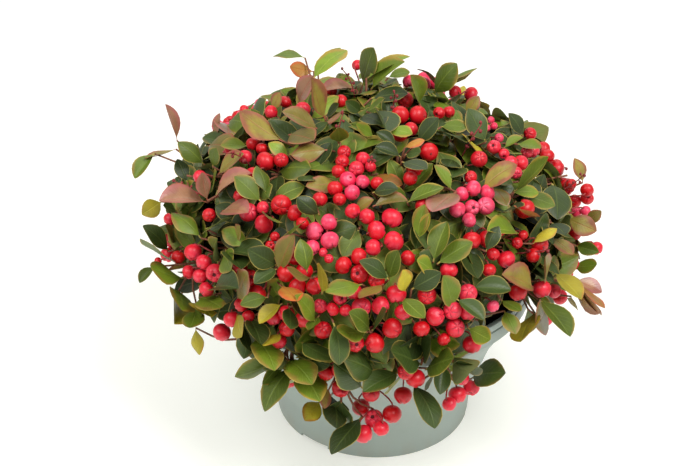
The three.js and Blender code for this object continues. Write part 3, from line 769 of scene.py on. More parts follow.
def bezier(start, control, end, steps):
    """Points along a curve from start to end."""
    points = []
    for i in range(steps + 1):
        t = i / steps
        points.append(start * (1 - t) ** 2 + control * 2 * t * (1 - t) + end * t * t)
    return points


def hub_of(crown, mass):
    """Where a mass's twigs part."""
    return crown_point(crown, mass.turn, mass.stem_tilt, HUB)


def main_path(crown, mass, shoot):
    """A main twig from the hub past its knee to its end."""
    hub = hub_of(crown, mass)
    share = 1.0 if mass.name == "top" else KNEE_SPREAD
    turn = mass.turn + angle_between(shoot.turn, mass.turn) * share
    hanging = shoot.tilt > HANGING_KNEE_TILT
    knee_reach = HANGING_KNEE if hanging else KNEE
    knee = crown_point(crown, turn, min(shoot.tilt, HANGING_KNEE_TILT), knee_reach)
    end = crown_point(crown, shoot.turn, shoot.tilt, shoot.reach)
    return bezier(hub, knee * 2 - (hub + end) / 2, end, MAIN_STEPS)


def fine_path(crown, parent, shoot, forks):
    """A finer twig that leaves its parent between two shares of the parent's way."""
    fork = lerp(*forks, chance(shoot.id, USE["fork"]))
    at = fork * (len(parent.path) - 1)
    before = int(at)
    start = parent.path[before].lerp(parent.path[before + 1], at - before)
    along = (parent.path[before + 1] - parent.path[before]).normalized()
    end = crown_point(crown, shoot.turn, shoot.tilt, shoot.reach)
    bow = (end - start).length * lerp(*BOWS, chance(shoot.id, USE["bow"]))
    return bezier(start, start + along * bow, end, FINE_STEPS)


def place(crown, turn, tilt):
    """A point on the crown's bulk, to measure how near two shoots are."""
    return crown_point(crown, turn, tilt, 1.0)


def facing_at(crown, stage, shoot):
    """How squarely the crown's surface round a shoot faces the camera, 1 at most."""
    here = place(crown, shoot.turn, shoot.tilt)
    sight = (camera_axes(stage)[3] - here).normalized()
    return crown_normal(crown, here).dot(sight)


def make_room(crown, shoots, spots, radius):
    """Drops the shoots that lie nearer to a spot than the radius."""
    centres = [place(crown, spot.turn, spot.tilt) for spot in spots]
    kept = []
    for shoot in shoots:
        here = place(crown, shoot.turn, shoot.tilt)
        if all((here - centre).length > radius for centre in centres):
            kept.append(shoot)
    return kept


def grow_seen_leaves(crown, stage):
    """A fine twig for each leaf that the photograph shows."""
    sprays = []
    eye = camera_axes(stage)[3]
    for part, tints in SEEN_LEAVES.items():
        left, top, larger = PHOTO_PARTS[part]
        for tint, leaves in tints.items():
            for leaf in leaves:
                root_x, root_y, tip_x, tip_y, width = (value / larger for value in leaf)
                root = seen_point(crown, stage, left + root_x, top + root_y, SEEN_ROOT_REACH)
                turn, tilt, reach = crown_place(crown, root)
                shoot = Shoot(SEEN_LEAF_ID + len(sprays), turn, tilt, reach)
                shoot.tip = seen_point(crown, stage, left + tip_x, top + tip_y, SEEN_TIP_REACH)
                shoot.breadth = width / focal_pixels(stage) * (root - eye).length
                shoot.leaves = 0
                shoot.tint = tint
                shoot.layer = "seen"
                sprays.append(shoot)
    return sprays


def grow_shoots(crown, stage):
    """Every shoot of the crown, its path and what it bears."""
    masses = list_masses()
    main = spread(crown, crown.main_shoots, crown.shoot_reach)
    for i, (turn, tilt, reach, leaves, tint) in enumerate(SPRIGS):
        shoot = Shoot(crown.main_shoots + i, math.radians(turn), math.radians(tilt), reach)
        shoot.leaves = leaves
        shoot.tint = tint
        shoot.layer = "sprig"
        main.append(shoot)
    for shoot in main:
        mass = mass_at(masses, shoot.turn, shoot.tilt)
        shoot.path = main_path(crown, mass, shoot)
        if shoot.layer == "outer":
            shoot.facing = facing_at(crown, stage, shoot)
            shoot.leaves = crown.leaves
            shoot.tint = tint_for(shoot)

    clusters = []
    for i, (tone, berries) in enumerate(SEEN_BERRIES):
        places = [seen_point(crown, stage, x, y, SEEN_REACH) for x, y, _ in berries]
        middle = sum(places, Vector()) / len(places)
        turn, tilt, reach = crown_place(crown, middle)
        shoot = Shoot(CLUSTER_ID + i, turn, tilt, reach - SEEN_DEPTH)
        shoot.seen = [(spot, size) for spot, (_, _, size) in zip(places, berries)]
        shoot.berries = len(berries)
        shoot.leaves = 1
        shoot.tone = tone
        shoot.layer = "fruit"
        clusters.append(shoot)
    sprays = grow_seen_leaves(crown, stage)
    named = clusters + sprays
    spread_out = spread(crown, crown.fine_shoots, crown.shoot_reach, FINE_ID)
    fine = make_room(crown, spread_out, clusters, CLUSTER_ROOM)
    for shoot in fine:
        shoot.facing = facing_at(crown, stage, shoot)
        shoot.leaves = crown.leaves
        shoot.tint = tint_for(shoot)
        fruits = chance(shoot.id, USE["berry"]) < crown.berry_share and not shoot.shown
        if fruits:
            shoot.layer = "fruit"
            shoot.leaves = FRUIT_LEAVES
            shoot.berries = 2 + int(chance(shoot.id, USE["berry"] + 1) * 4)
            shoot.tone = FRUIT_TONES[int(chance(shoot.id, USE["berry"] + 2) * len(FRUIT_TONES))]
            shoot.reach += FRUIT_REACH
    inner = spread(crown, crown.inner_shoots, crown.inner_reach, INNER_ID)
    for shoot in inner:
        shoot.leaves = crown.leaves
        shoot.tint = "shade"
        shoot.layer = "inner"

    ends = [(shoot, mass_at(masses, shoot.turn, shoot.tilt)) for shoot in main]
    for shoot in named + fine + inner:
        mass = mass_at(masses, shoot.turn, shoot.tilt)
        here = place(crown, shoot.turn, shoot.tilt)
        own = [other for other, other_mass in ends if other_mass is mass]
        parent = min(own, key=lambda other: (place(crown, other.turn, other.tilt) - here).length)
        forks = INNER_FORKS if shoot.layer == "inner" else FORKS
        shoot.path = fine_path(crown, parent, shoot, forks)
    return main, named + fine + inner


# Meshes

UV_MAP = "surface"


@dataclass
class Template:
    """A small mesh as arrays, ready to be copied many times."""

    points: np.ndarray
    corners: np.ndarray
    sizes: np.ndarray
    slots: np.ndarray
    uvs: np.ndarray


def template_from(bm):
    """A bmesh as a template, with its UV map if it has one. The bmesh is freed."""
    bm.normal_update()
    layer = bm.loops.layers.uv.get(UV_MAP)
    bm.verts.index_update()
    points = np.array([tuple(v.co) for v in bm.verts])
    corners = np.array([v.index for face in bm.faces for v in face.verts])
    sizes = np.array([len(face.verts) for face in bm.faces])
    slots = np.array([face.material_index for face in bm.faces])
    uvs = np.zeros((len(corners), 2))
    if layer is not None:
        uvs = np.array([tuple(loop[layer].uv) for face in bm.faces for loop in face.loops])
    bm.free()
    return Template(points, corners, sizes, slots, uvs)


class Gathered:
    """Copies of templates, gathered for one joined mesh."""

    def __init__(self):
        self.copies = []
        self.count = 0

    def add(self, template, points, tone=0.5):
        """Adds a copy whose points are already in place."""
        corners = template.corners + self.count
        tones = np.full(len(points), tone)
        self.copies.append((points, corners, template.sizes, template.slots, template.uvs, tones))
        self.count += len(points)

    def add_at(self, template, matrix, tone=0.5):
        """Adds a copy moved by a matrix."""
        spun = np.array(matrix)
        self.add(template, template.points @ spun[:3, :3].T + spun[:3, 3], tone)

    def piece(self, name, materials, slot, nodes):
        """The joined mesh as a piece on the body."""
        points, corners, sizes, slots, uvs, tones = map(np.concatenate, zip(*self.copies))
        mesh = bpy.data.meshes.new(name)
        mesh.vertices.add(len(points))
        mesh.vertices.foreach_set("co", points.ravel())
        mesh.loops.add(len(corners))
        mesh.loops.foreach_set("vertex_index", corners)
        mesh.polygons.add(len(sizes))
        mesh.polygons.foreach_set("loop_start", np.cumsum(sizes) - sizes)
        mesh.polygons.foreach_set("material_index", slots)
        mesh.polygons.foreach_set("use_smooth", np.ones(len(sizes), dtype=bool))
        mesh.uv_layers.new(name=UV_MAP).data.foreach_set("uv", uvs.ravel())
        mesh.attributes.new("tone", "FLOAT", "POINT").data.foreach_set("value", tones)
        mesh.update(calc_edges=True)
        mesh.validate()
        finish_piece(name, mesh, materials, nodes)


def finish_piece(name, mesh, materials, nodes):
    """Puts a mesh in the scene, on the body and in the place of its nodes."""
    piece = bpy.data.objects.new(name, mesh)
    bpy.context.scene.collection.objects.link(piece)
    for material in materials:
        mesh.materials.append(material)
    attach(piece, BODY)
    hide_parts(*nodes)


def mesh_from(bm, name):
    """A finished bmesh as a mesh. The bmesh is freed."""
    mesh = bpy.data.meshes.new(name)
    bm.to_mesh(mesh)
    bm.free()
    return mesh


# A leaf's outline: share of its length from the root, and half width over the widest.
PETIOLE = 0.09
LEAF_OUTLINE = [
    (0.0, 0.07), (PETIOLE, 0.08), (0.17, 0.34), (0.27, 0.64), (0.40, 0.90), (0.54, 1.0),
    (0.68, 0.95), (0.80, 0.76), (0.90, 0.48), (0.965, 0.22), (1.0, 0.02),
]
ACROSS_LEAF = (-1.0, -0.945, -0.46, 0.0, 0.46, 0.945, 1.0)
LEAF_SHAPES = [
    # breadth over the mean, fold, curl, twist, ripple
    (1.0, 0.30, 0.35, 0.0, 0.0),
    (1.06, 0.14, 0.20, 0.2, 0.12),
    (0.92, 0.55, 0.45, -0.2, 0.0),
    (1.0, 0.20, 0.80, 0.25, 0.15),
    (1.12, 0.18, 0.30, -0.1, 0.1),
    (0.84, 0.40, -0.30, 0.15, 0.1),
    (0.95, -0.12, 0.90, 0.1, 0.2),
    (1.04, 0.08, -0.35, -0.25, 0.15),
]
RIPPLES = 9.0  # radians of ripple along a leaf
TWIST_START = 0.3

# On a berry of radius one: the dimple at the stalk and the brim round the open end, each as
# a height, the brim's radius, and how far they reach.
BERRY_LOBES = 5
BERRY_DIMPLE = 0.12
DIMPLE_WIDTH = 0.35
OPENING_WIDTH = 0.38
BRIM_HEIGHT = 0.12
BRIM_RADIUS = 0.5
BRIM_WIDTH = 0.22
# radius of the dark eye, painted shade in the berry's opening
EYE_SHADE_RADIUS = 0.2
BERRY_FLATNESS = 0.9


def leaf_spot(shape, breadth, along, across):
    """A place on a leaf one unit long, along +X with its upper face to +Z.

    The shape's fold lifts the halves along the midrib, curl bends the tip down and twist
    turns it, all in radians.
    """
    widen, fold, curl, twist, ripple = shape
    half = float(np.interp(along, *zip(*LEAF_OUTLINE))) * breadth * widen / 2
    y = across * half
    lift = abs(y) * math.tan(fold) - ripple * abs(across) ** 2 * half
    lift += ripple * 0.5 * half * across * math.sin(along * RIPPLES)
    turn = twist * (along - TWIST_START)
    y, lift = (
        y * math.cos(turn) - lift * math.sin(turn),
        y * math.sin(turn) + lift * math.cos(turn),
    )
    bend = curl * along
    x = math.sin(bend) / curl
    z = -(1 - math.cos(bend)) / curl
    return Vector((x + lift * math.sin(bend), y, z + lift * math.cos(bend)))


def leaf_template(shape, breadth):
    """A leaf's mesh. The outer strip of faces and the petiole are in the second slot."""
    rows, columns = len(LEAF_OUTLINE) - 1, len(ACROSS_LEAF) - 1
    bm = bmesh.new()
    bmesh.ops.create_grid(bm, x_segments=rows, y_segments=columns, size=1.0)
    uv = bm.loops.layers.uv.new(UV_MAP)
    shares = {}
    for vert in bm.verts:
        row = round((vert.co.x + 1) / 2 * rows)
        column = round((vert.co.y + 1) / 2 * columns)
        shares[vert.index] = (LEAF_OUTLINE[row][0], ACROSS_LEAF[column])
    for vert in bm.verts:
        vert.co = leaf_spot(shape, breadth, *shares[vert.index])
    for face in bm.faces:
        corners = [shares[vert.index] for vert in face.verts]
        edge = all(abs(across) > 0.9 for _, across in corners)
        petiole = all(along < PETIOLE + 0.01 for along, _ in corners)
        face.material_index = int(edge or petiole)
        for loop in face.loops:
            along, across = shares[loop.vert.index]
            loop[uv].uv = (along, across / 2 + 0.5)
    return template_from(bm)


def berry_template(lobes, opening, eye):
    """A berry of radius one with its stalk at +Z and its five-lobed end at -Z.

    The UV map holds the turn and the height, both as shares. An open berry has a dark
    eye of painted shade in its opening, in the second slot.
    """
    bm = bmesh.new()
    bmesh.ops.create_uvsphere(bm, u_segments=20, v_segments=14, radius=1.0)
    uv = bm.loops.layers.uv.new(UV_MAP)
    for vert in bm.verts:
        turn = math.atan2(vert.co.y, vert.co.x)
        from_axis = vert.co.xy.length
        crease = ((1 + math.cos(BERRY_LOBES * turn)) / 2) ** 2
        shrink = 1 - lobes * crease * smooth_step(0.2, -0.8, vert.co.z)
        vert.co.x *= shrink
        vert.co.y *= shrink
        if vert.co.z > 0:
            vert.co.z -= BERRY_DIMPLE * math.exp(-((from_axis / DIMPLE_WIDTH) ** 2))
        else:
            brim = math.exp(-(((from_axis - BRIM_RADIUS) / BRIM_WIDTH) ** 2)) * (1 - crease)
            hollow = opening * math.exp(-((from_axis / OPENING_WIDTH) ** 2))
            vert.co.z += hollow - BRIM_HEIGHT * brim
        vert.co.z *= BERRY_FLATNESS
    for face in bm.faces:
        middle = face.calc_center_median()
        # Faces at the bottom of the opening take the painted shade of the eye.
        if eye and middle.z < 0 and middle.xy.length < EYE_SHADE_RADIUS:
            face.material_index = 1
        home = math.atan2(middle.y, middle.x)
        for loop in face.loops:
            spot = loop.vert.co
            turn = home
            if spot.xy.length > 1e-4:
                turn += angle_between(math.atan2(spot.y, spot.x), home)
            loop[uv].uv = (turn / (2 * math.pi), spot.z / 2 + 0.5)
    return template_from(bm)


def tube_template(sides, rings):
    """A closed tube along +Z from 0 to 1, of radius one, in rings of faces."""
    bm = bmesh.new()
    bmesh.ops.create_cone(
        bm, cap_ends=True, cap_tris=False, segments=sides, radius1=1.0, radius2=1.0, depth=1.0
    )
    if rings > 1:
        upright = [e for e in bm.edges if abs(e.verts[0].co.z - e.verts[1].co.z) > 0.5]
        bmesh.ops.subdivide_edges(bm, edges=upright, cuts=rings - 1, use_grid_fill=True)
    bmesh.ops.translate(bm, verts=bm.verts, vec=(0.0, 0.0, 0.5))
    return template_from(bm)


def ball_template():
    """A small round bud."""
    bm = bmesh.new()
    bmesh.ops.create_icosphere(bm, subdivisions=1, radius=1.0)
    return template_from(bm)


def taper(path, first, last):
    """A radius for each point of a path, from the first to the last."""
    return np.linspace(first, last, len(path))


def bend_tube(template, path, radii):
    """A tube template's points, laid along a path with one radius or one at each point."""
    shares = np.linspace(0.0, 1.0, len(path))
    along = np.clip(template.points[:, 2], 0.0, 1.0)
    ways = [b - a for a, b in zip([path[0], *path], [*path[1:], path[-1]])]
    headings = [way.normalized() for way in ways]

    def at(values):
        values = np.array([tuple(value) for value in values])
        return np.stack([np.interp(along, shares, values[:, k]) for k in range(3)], axis=1)

    across = at([besides(heading, 0.0) for heading in headings])
    over = at([besides(heading, math.pi / 2) for heading in headings])
    offset = across * template.points[:, :1] + over * template.points[:, 1:2]
    radius = np.interp(along, shares, np.broadcast_to(radii, len(path)))
    return at(path) + offset * radius[:, None]


# Materials

COLOUR = "NodeSocketColor"
NUMBER = "NodeSocketFloat"


def feed(tree, socket, value):
    """Links a socket to an input, or sets a number or a colour on it."""
    if isinstance(value, bpy.types.NodeSocket):
        tree.links.new(value, socket)
    else:
        socket.default_value = (*value, 1.0) if isinstance(value, tuple) else value


def add_node(tree, kind, inputs, **values):
    """A shader node with its inputs and its settings."""
    node = tree.nodes.new(kind)
    for key, value in values.items():
        setattr(node, key, value)
    for key, value in inputs.items():
        feed(tree, node.inputs[key], value)
    return node


def calculate(tree, operation, *values, clamp=False):
    """A Math node. Its inputs are sockets or numbers."""
    inputs = dict(enumerate(values))
    return add_node(tree, "ShaderNodeMath", inputs, operation=operation, use_clamp=clamp).outputs[0]


def times(tree, first, second):
    """A product of sockets or numbers."""
    return calculate(tree, "MULTIPLY", first, second)


def ramp(tree, value, low, high, start=0.0, end=1.0):
    """A smooth step of a value from low to high."""
    inputs = dict(enumerate((value, low, high, start, end)))
    node = add_node(tree, "ShaderNodeMapRange", inputs, interpolation_type="SMOOTHSTEP")
    return node.outputs["Result"]


def blend_colour(tree, share, first, second):
    """A colour mix. Its inputs are sockets, a number or colours."""
    inputs = {0: share, 6: first, 7: second}
    return add_node(tree, "ShaderNodeMix", inputs, data_type="RGBA").outputs[2]


def object_place(tree):
    """A place in the object's own space."""
    return add_node(tree, "ShaderNodeTexCoord", {}).outputs["Object"]


def surface_place(tree):
    """The two shares of a piece's own UV map."""
    place_on = add_node(tree, "ShaderNodeUVMap", {}, uv_map=UV_MAP).outputs[0]
    return add_node(tree, "ShaderNodeSeparateXYZ", {0: place_on}).outputs[:2]


def tone_of(tree):
    """A copy's own tone, from 0 to 1."""
    return add_node(tree, "ShaderNodeAttribute", {}, attribute_name="tone").outputs["Fac"]


def squeezed(tree, place_on, height):
    """A place whose patterns are drawn out upwards."""
    inputs = {"Vector": place_on, "Scale": Vector((1.0, 1.0, height))}
    return add_node(tree, "ShaderNodeMapping", inputs).outputs[0]


def noise_on(tree, place_on, scale, detail=3.0, roughness=0.5):
    """Noise on a place, with about scale features in a metre."""
    inputs = {"Vector": place_on, "Scale": scale, "Detail": detail, "Roughness": roughness}
    return add_node(tree, "ShaderNodeTexNoise", inputs).outputs["Fac"]


def shared_group(name, inputs, paint):
    """A node group that gives a colour and a height, painted once and then shared."""
    if name not in bpy.data.node_groups:
        group = bpy.data.node_groups.new(name, "ShaderNodeTree")
        for socket, kind, value in inputs:
            made = group.interface.new_socket(socket, in_out="INPUT", socket_type=kind)
            made.default_value = (*value, 1.0) if isinstance(value, tuple) else value
        for socket, kind in (("Color", COLOUR), ("Height", NUMBER)):
            group.interface.new_socket(socket, in_out="OUTPUT", socket_type=kind)
        given = group.nodes.new("NodeGroupInput").outputs
        outside = group.nodes.new("NodeGroupOutput")
        for socket, value in zip(outside.inputs, paint(group, given)):
            group.links.new(value, socket)
    return bpy.data.node_groups[name]


def leaf_surface():
    """Blade, blush, midrib and veins of a leaf, read along its own UV map."""
    inputs = [
        ("Blade", COLOUR, (0.05, 0.1, 0.02)),
        ("Blush", COLOUR, (0.3, 0.1, 0.05)),
        ("Blush Amount", NUMBER, 0.2),
        ("Rib", COLOUR, (0.3, 0.35, 0.1)),
    ]
    return shared_group("Gaultheria Leaf Surface", inputs, paint_leaf)


def paint_leaf(group, given):
    along, across = surface_place(group)
    side = calculate(group, "ABSOLUTE", calculate(group, "MULTIPLY_ADD", across, 2.0, -1.0))
    rib = ramp(group, side, 0.02, 0.09, 1.0, 0.0)
    phase = calculate(group, "SUBTRACT", times(group, along, 9.0), times(group, side, 2.6))
    ridge = calculate(group, "PINGPONG", phase, 0.5)
    fading = ramp(group, side, 0.55, 0.95, 1.0, 0.0)
    veins = times(group, ramp(group, ridge, 0.03, 0.1, 1.0, 0.0), fading)
    tone = tone_of(group)
    spot = object_place(group)
    patches = noise_on(group, spot, LEAF_PATCHES)
    fine = noise_on(group, spot, LEAF_PORES, 2.0)

    inputs = {"Color": given["Blade"], "Value": ramp(group, tone, 0.0, 1.0, 0.68, 1.38)}
    shade = add_node(group, "ShaderNodeHueSaturation", inputs).outputs[0]
    near_edge = times(group, calculate(group, "POWER", side, 2.0), 0.6)
    reach = calculate(group, "ADD", times(group, along, 0.6), near_edge)
    more = (times(group, patches, 0.7), times(group, tone, 0.3), given["Blush Amount"])
    for part in more:
        reach = calculate(group, "ADD", reach, part)
    painted = blend_colour(group, ramp(group, reach, 1.25, 1.6), shade, given["Blush"])
    dark = ramp(group, patches, 0.35, 0.7, 0.0, 0.25)
    mottled = blend_colour(group, dark, painted, (0.01, 0.02, 0.006))
    lines = calculate(group, "MAXIMUM", times(group, rib, 0.38), times(group, veins, 0.1))
    ribbed = blend_colour(group, lines, mottled, given["Rib"])
    dents = calculate(group, "ADD", rib, times(group, veins, 0.5))
    return ribbed, calculate(group, "SUBTRACT", times(group, fine, 0.25), dents)


def berry_skin():
    """Waxy skin: a pink bloom, partly painted sheen, towards the lobed end, fine freckles and
    painted shade in the creases.
    """
    inputs = [
        ("Skin", COLOUR, (0.6, 0.01, 0.02)),
        ("Bloom", COLOUR, (0.8, 0.2, 0.3)),
        ("Bloom Amount", NUMBER, 0.3),
    ]
    return shared_group("Gaultheria Berry Skin", inputs, paint_berry)


def paint_berry(group, given):
    turn, height = surface_place(group)
    spot = object_place(group)
    patches = noise_on(group, spot, BERRY_PATCHES)
    freckles = noise_on(group, spot, BERRY_FRECKLES, 2.0)
    lobe = calculate(group, "PINGPONG", times(group, turn, float(BERRY_LOBES)), 0.5)
    low = ramp(group, height, 0.04, 0.3, 1.0, 0.0)
    crease = times(group, ramp(group, lobe, 0.0, 0.16, 1.0, 0.0), low)
    # Bloom mixed in towards the lobed end and in patches: partly the skin's own pink, partly
    # painted sheen.
    below = times(group, ramp(group, height, 0.05, 0.5, 1.0, 0.0), 0.5)
    amount = calculate(group, "ADD", below, ramp(group, patches, 0.4, 0.7, 0.0, 0.6))
    amount = times(group, amount, given["Bloom Amount"])
    lighter = times(group, tone_of(group), 0.08)
    amount = calculate(group, "ADD", amount, lighter, clamp=True)
    bloom_and_sheen_mix = blend_colour(group, amount, given["Skin"], given["Bloom"])
    dots = ramp(group, freckles, 0.62, 0.75, 0.0, 0.18)
    specks = blend_colour(group, dots, bloom_and_sheen_mix, given["Bloom"])
    # Painted shade: the creases between the lobes are darkened towards deep red.
    crease_shaded = blend_colour(group, times(group, crease, 0.75), specks, (0.12, 0.004, 0.012))
    return crease_shaded, calculate(group, "SUBTRACT", freckles, times(group, crease, 6.0))


def bark_surface():
    """Bark: streaks and flakes of two colours."""
    inputs = [
        ("Bark", COLOUR, (0.1, 0.05, 0.03)),
        ("Flake", COLOUR, (0.2, 0.12, 0.08)),
        ("Size", NUMBER, 300.0),
    ]
    return shared_group("Gaultheria Bark Surface", inputs, paint_bark)


def paint_bark(group, given):
    streaks = noise_on(group, squeezed(group, object_place(group), 0.3), given["Size"], 4.0, 0.65)
    flakes = ramp(group, streaks, 0.42, 0.62)
    return blend_colour(group, flakes, given["Bark"], given["Flake"]), streaks


def new_material(name, roughness, coat=0.0):
    """A material, its nodes and its Principled shader."""
    material = bpy.data.materials.new(name)
    material.use_nodes = True
    shader = material.node_tree.nodes["Principled BSDF"]
    shader.inputs["Roughness"].default_value = roughness
    shader.inputs["Coat Weight"].default_value = coat
    shader.inputs["Coat Roughness"].default_value = COAT_ROUGHNESS
    shader.inputs["Specular IOR Level"].default_value = SPECULAR
    return material, material.node_tree, shader


def bump_from(tree, shader, height, distance, strength=0.6):
    """Relief from a height, in metres."""
    inputs = {"Height": height, "Distance": distance, "Strength": strength}
    tree.links.new(add_node(tree, "ShaderNodeBump", inputs).outputs[0], shader.inputs["Normal"])


def grouped_material(name, group, values, roughness, relief, coat=0.0):
    """A material whose colour and relief come from a group with its own values."""
    material, tree, shader = new_material(name, roughness, coat)
    node = add_node(tree, "ShaderNodeGroup", {}, node_tree=group)
    for key, value in values.items():
        feed(tree, node.inputs[key], value)
    tree.links.new(node.outputs["Color"], shader.inputs["Base Color"])
    bump_from(tree, shader, node.outputs["Height"], relief)
    return material, tree, shader, node


def bark_material(name, value, flake, size, roughness, relief):
    """Bark of a colour, with flakes so many times as bright."""
    values = {"Bark": tuple(value), "Flake": scaled(value, flake), "Size": size}
    return grouped_material(name, bark_surface(), values, roughness, relief)[0]


def scaled(value, factor):
    """A colour made brighter or darker."""
    return tuple(min(1.0, part * factor) for part in value)


COAT_ROUGHNESS = 0.25
SPECULAR = 0.38
LEAF_RELIEF = 0.0003
# Features of the noise in a metre.
LEAF_PATCHES = 1 / 0.009
LEAF_PORES = 1 / 0.0012
BERRY_PATCHES = 1 / 0.006
BERRY_FRECKLES = 1 / 0.0007

# The colour of the pink bloom, partly the skin's own tint and partly painted sheen, and how much of
# a berry it takes, by tone.
BLOOM_AND_SHEEN = {
    "scarlet": ((228, 58, 88), 0.1),
    "rose": ((236, 92, 124), 0.28),
    "pale": ((244, 122, 150), 0.55),
}
LEAF_LOOKS = {
    # tint: blush colour, how much of the leaf it takes, rib colour, roughness, sheen
    "deep": ((104, 94, 42), -0.04, (96, 112, 48), 0.47, 0.06),
    "mid": ((142, 118, 46), 0.12, (124, 140, 54), 0.48, 0.05),
    "fresh": ((168, 140, 50), 0.12, (156, 170, 70), 0.48, 0.04),
    "bronze": ((150, 92, 62), 0.22, (156, 84, 54), 0.38, 0.16),
    "rosy": ((168, 98, 88), 0.28, (170, 80, 66), 0.34, 0.3),
    "orange": ((190, 96, 40), 0.25, (176, 90, 44), 0.42, 0.1),
    "yellow": ((184, 128, 38), 0.1, (184, 178, 60), 0.5, 0.04),
    "shade": ((46, 34, 16), -0.2, (56, 60, 28), 0.6, 0.04),
}


UNDERSIDES = {
    "bronze": (158, 108, 76),
    "rosy": (176, 112, 96),
    "orange": (176, 112, 66),
    "yellow": (192, 182, 64),
    "shade": (52, 60, 34),
}
GREEN_UNDERSIDE = (138, 148, 92)


def leaf_material(tint, colours):
    """The blade of one tint of leaf, paler on its underside."""
    blush, amount, rib, roughness, sheen = LEAF_LOOKS[tint]
    values = {
        "Blade": tuple(getattr(colours, tint)),
        "Blush": screen(*blush),
        "Blush Amount": amount,
        "Rib": screen(*rib),
    }
    material, tree, shader, node = grouped_material(
        "leaf_" + tint, leaf_surface(), values, roughness, LEAF_RELIEF, sheen
    )
    back = add_node(tree, "ShaderNodeNewGeometry", {}).outputs["Backfacing"]
    under = screen(*UNDERSIDES.get(tint, GREEN_UNDERSIDE))
    pale = blend_colour(tree, 0.6, node.outputs["Color"], under)
    both = blend_colour(tree, back, node.outputs["Color"], pale)
    tree.links.new(both, shader.inputs["Base Color"])
    return material


def plain_material(name, value, roughness, size):
    """A material of one colour, with soft mottling about size metres across and fine relief."""
    material, tree, shader = new_material(name, roughness)
    spot = object_place(tree)
    patches = ramp(tree, noise_on(tree, spot, 1 / size), 0.3, 0.7)
    mixed = blend_colour(tree, patches, scaled(value, 0.75), scaled(value, 1.2))
    tree.links.new(mixed, shader.inputs["Base Color"])
    bump_from(tree, shader, noise_on(tree, spot, 5 / size), 0.0001)
    return material


def plastic_material(pot):
    """Matte moulded plastic: fine grain, faint streaks and a little dust low down."""
    material, tree, shader = new_material("pot_plastic", 0.55)
    spot = object_place(tree)
    streaks = noise_on(tree, squeezed(tree, spot, 0.12), 1 / 0.012)
    clouds = noise_on(tree, spot, 1 / 0.05)
    grain = noise_on(tree, spot, 1 / pot.grain, 2.0)
    cloudy = ramp(tree, clouds, 0.3, 0.7)
    value = blend_colour(tree, cloudy, scaled(pot.plastic, 0.94), scaled(pot.plastic, 1.05))
    streaky = ramp(tree, streaks, 0.5, 0.8, 0.0, 0.12)
    value = blend_colour(tree, streaky, value, scaled(pot.plastic, 1.35))
    grainy = ramp(tree, grain, 0.6, 0.8, 0.0, 0.2)
    value = blend_colour(tree, grainy, value, scaled(pot.plastic, 0.7))
    height = add_node(tree, "ShaderNodeSeparateXYZ", {0: spot}).outputs[2]
    low = ramp(tree, height, 0.0, 0.018, 0.35, 0.0)
    dust = times(tree, low, ramp(tree, streaks, 0.35, 0.7))
    value = blend_colour(tree, dust, value, screen(150, 140, 122))
    tree.links.new(value, shader.inputs["Base Color"])
    tree.links.new(ramp(tree, clouds, 0.3, 0.7, 0.48, 0.62), shader.inputs["Roughness"])
    bump_from(tree, shader, grain, 0.00006, 0.5)
    return material


def compost_material(pot):
    """Moist compost with drier crumbs, fibres and pale grit."""
    material, tree, shader = new_material("compost", 0.9)
    spot = object_place(tree)
    crumbs = noise_on(tree, spot, 1 / 0.004, 5.0, 0.7)
    grit = ramp(tree, noise_on(tree, spot, 1 / 0.0018, 2.0), 0.7, 0.76, 0.0, 0.7)
    soil = tuple(pot.compost)
    value = blend_colour(tree, ramp(tree, crumbs, 0.35, 0.65), scaled(soil, 0.5), soil)
    value = blend_colour(tree, ramp(tree, crumbs, 0.6, 0.72), value, tuple(pot.fibre))
    value = blend_colour(tree, grit, value, screen(190, 184, 170))
    tree.links.new(value, shader.inputs["Base Color"])
    bump_from(tree, shader, crumbs, 0.0015, 0.9)
    return material


# Leaves, berries and twigs in their places


@dataclass
class LeafPlace:
    """One leaf: its matrix, tint, shape and tone."""

    matrix: Matrix
    tint: str
    shape: int
    tone: float


def pot_radius(height):
    """The pot's outer radius at a height."""
    outline = [(0.0, FOOT_RADIUS), *BOWL, (COLLAR_BOTTOM, COLLAR_RADIUS)]
    return float(np.interp(height, *zip(*outline)))


def in_pot(point):
    """True for a point in the pot or too near to it."""
    if point.z > POT_HEIGHT + POT_MARGIN:
        return False
    return math.hypot(point.x, point.y) < pot_radius(max(0.0, point.z)) + POT_MARGIN


def leaf_matrix(root, heading, face, size):
    """Places a unit leaf at a root, along a heading, its upper side towards the face."""
    over = (face - heading * face.dot(heading)).normalized()
    across = over.cross(heading)
    turned = Matrix((heading * size, across * size, over * size)).transposed().to_4x4()
    turned.translation = root
    return turned


# Where a leaf is tested: share of its length, and -1 to 1 across it. The second and the
# third stand for its middle.
PROBES = [
    (0.27, 0), (0.54, 0), (0.8, 0), (1.0, 0),
    (0.27, 1), (0.27, -1), (0.54, 1), (0.54, -1), (0.8, 1), (0.8, -1),
    (0.36, 0.45), (0.36, -0.45), (0.68, 0.42), (0.68, -0.42),
    (0.44, 0), (0.68, 0), (0.52, 0.5), (0.52, -0.5), (0.88, 0),
]
MIDDLE = slice(1, 3)


@dataclass
class Window:
    """A ball that no leaf enters, and a clear view of its middle, towards the look."""

    centre: Vector
    look: Vector
    solid: float
    clear: float


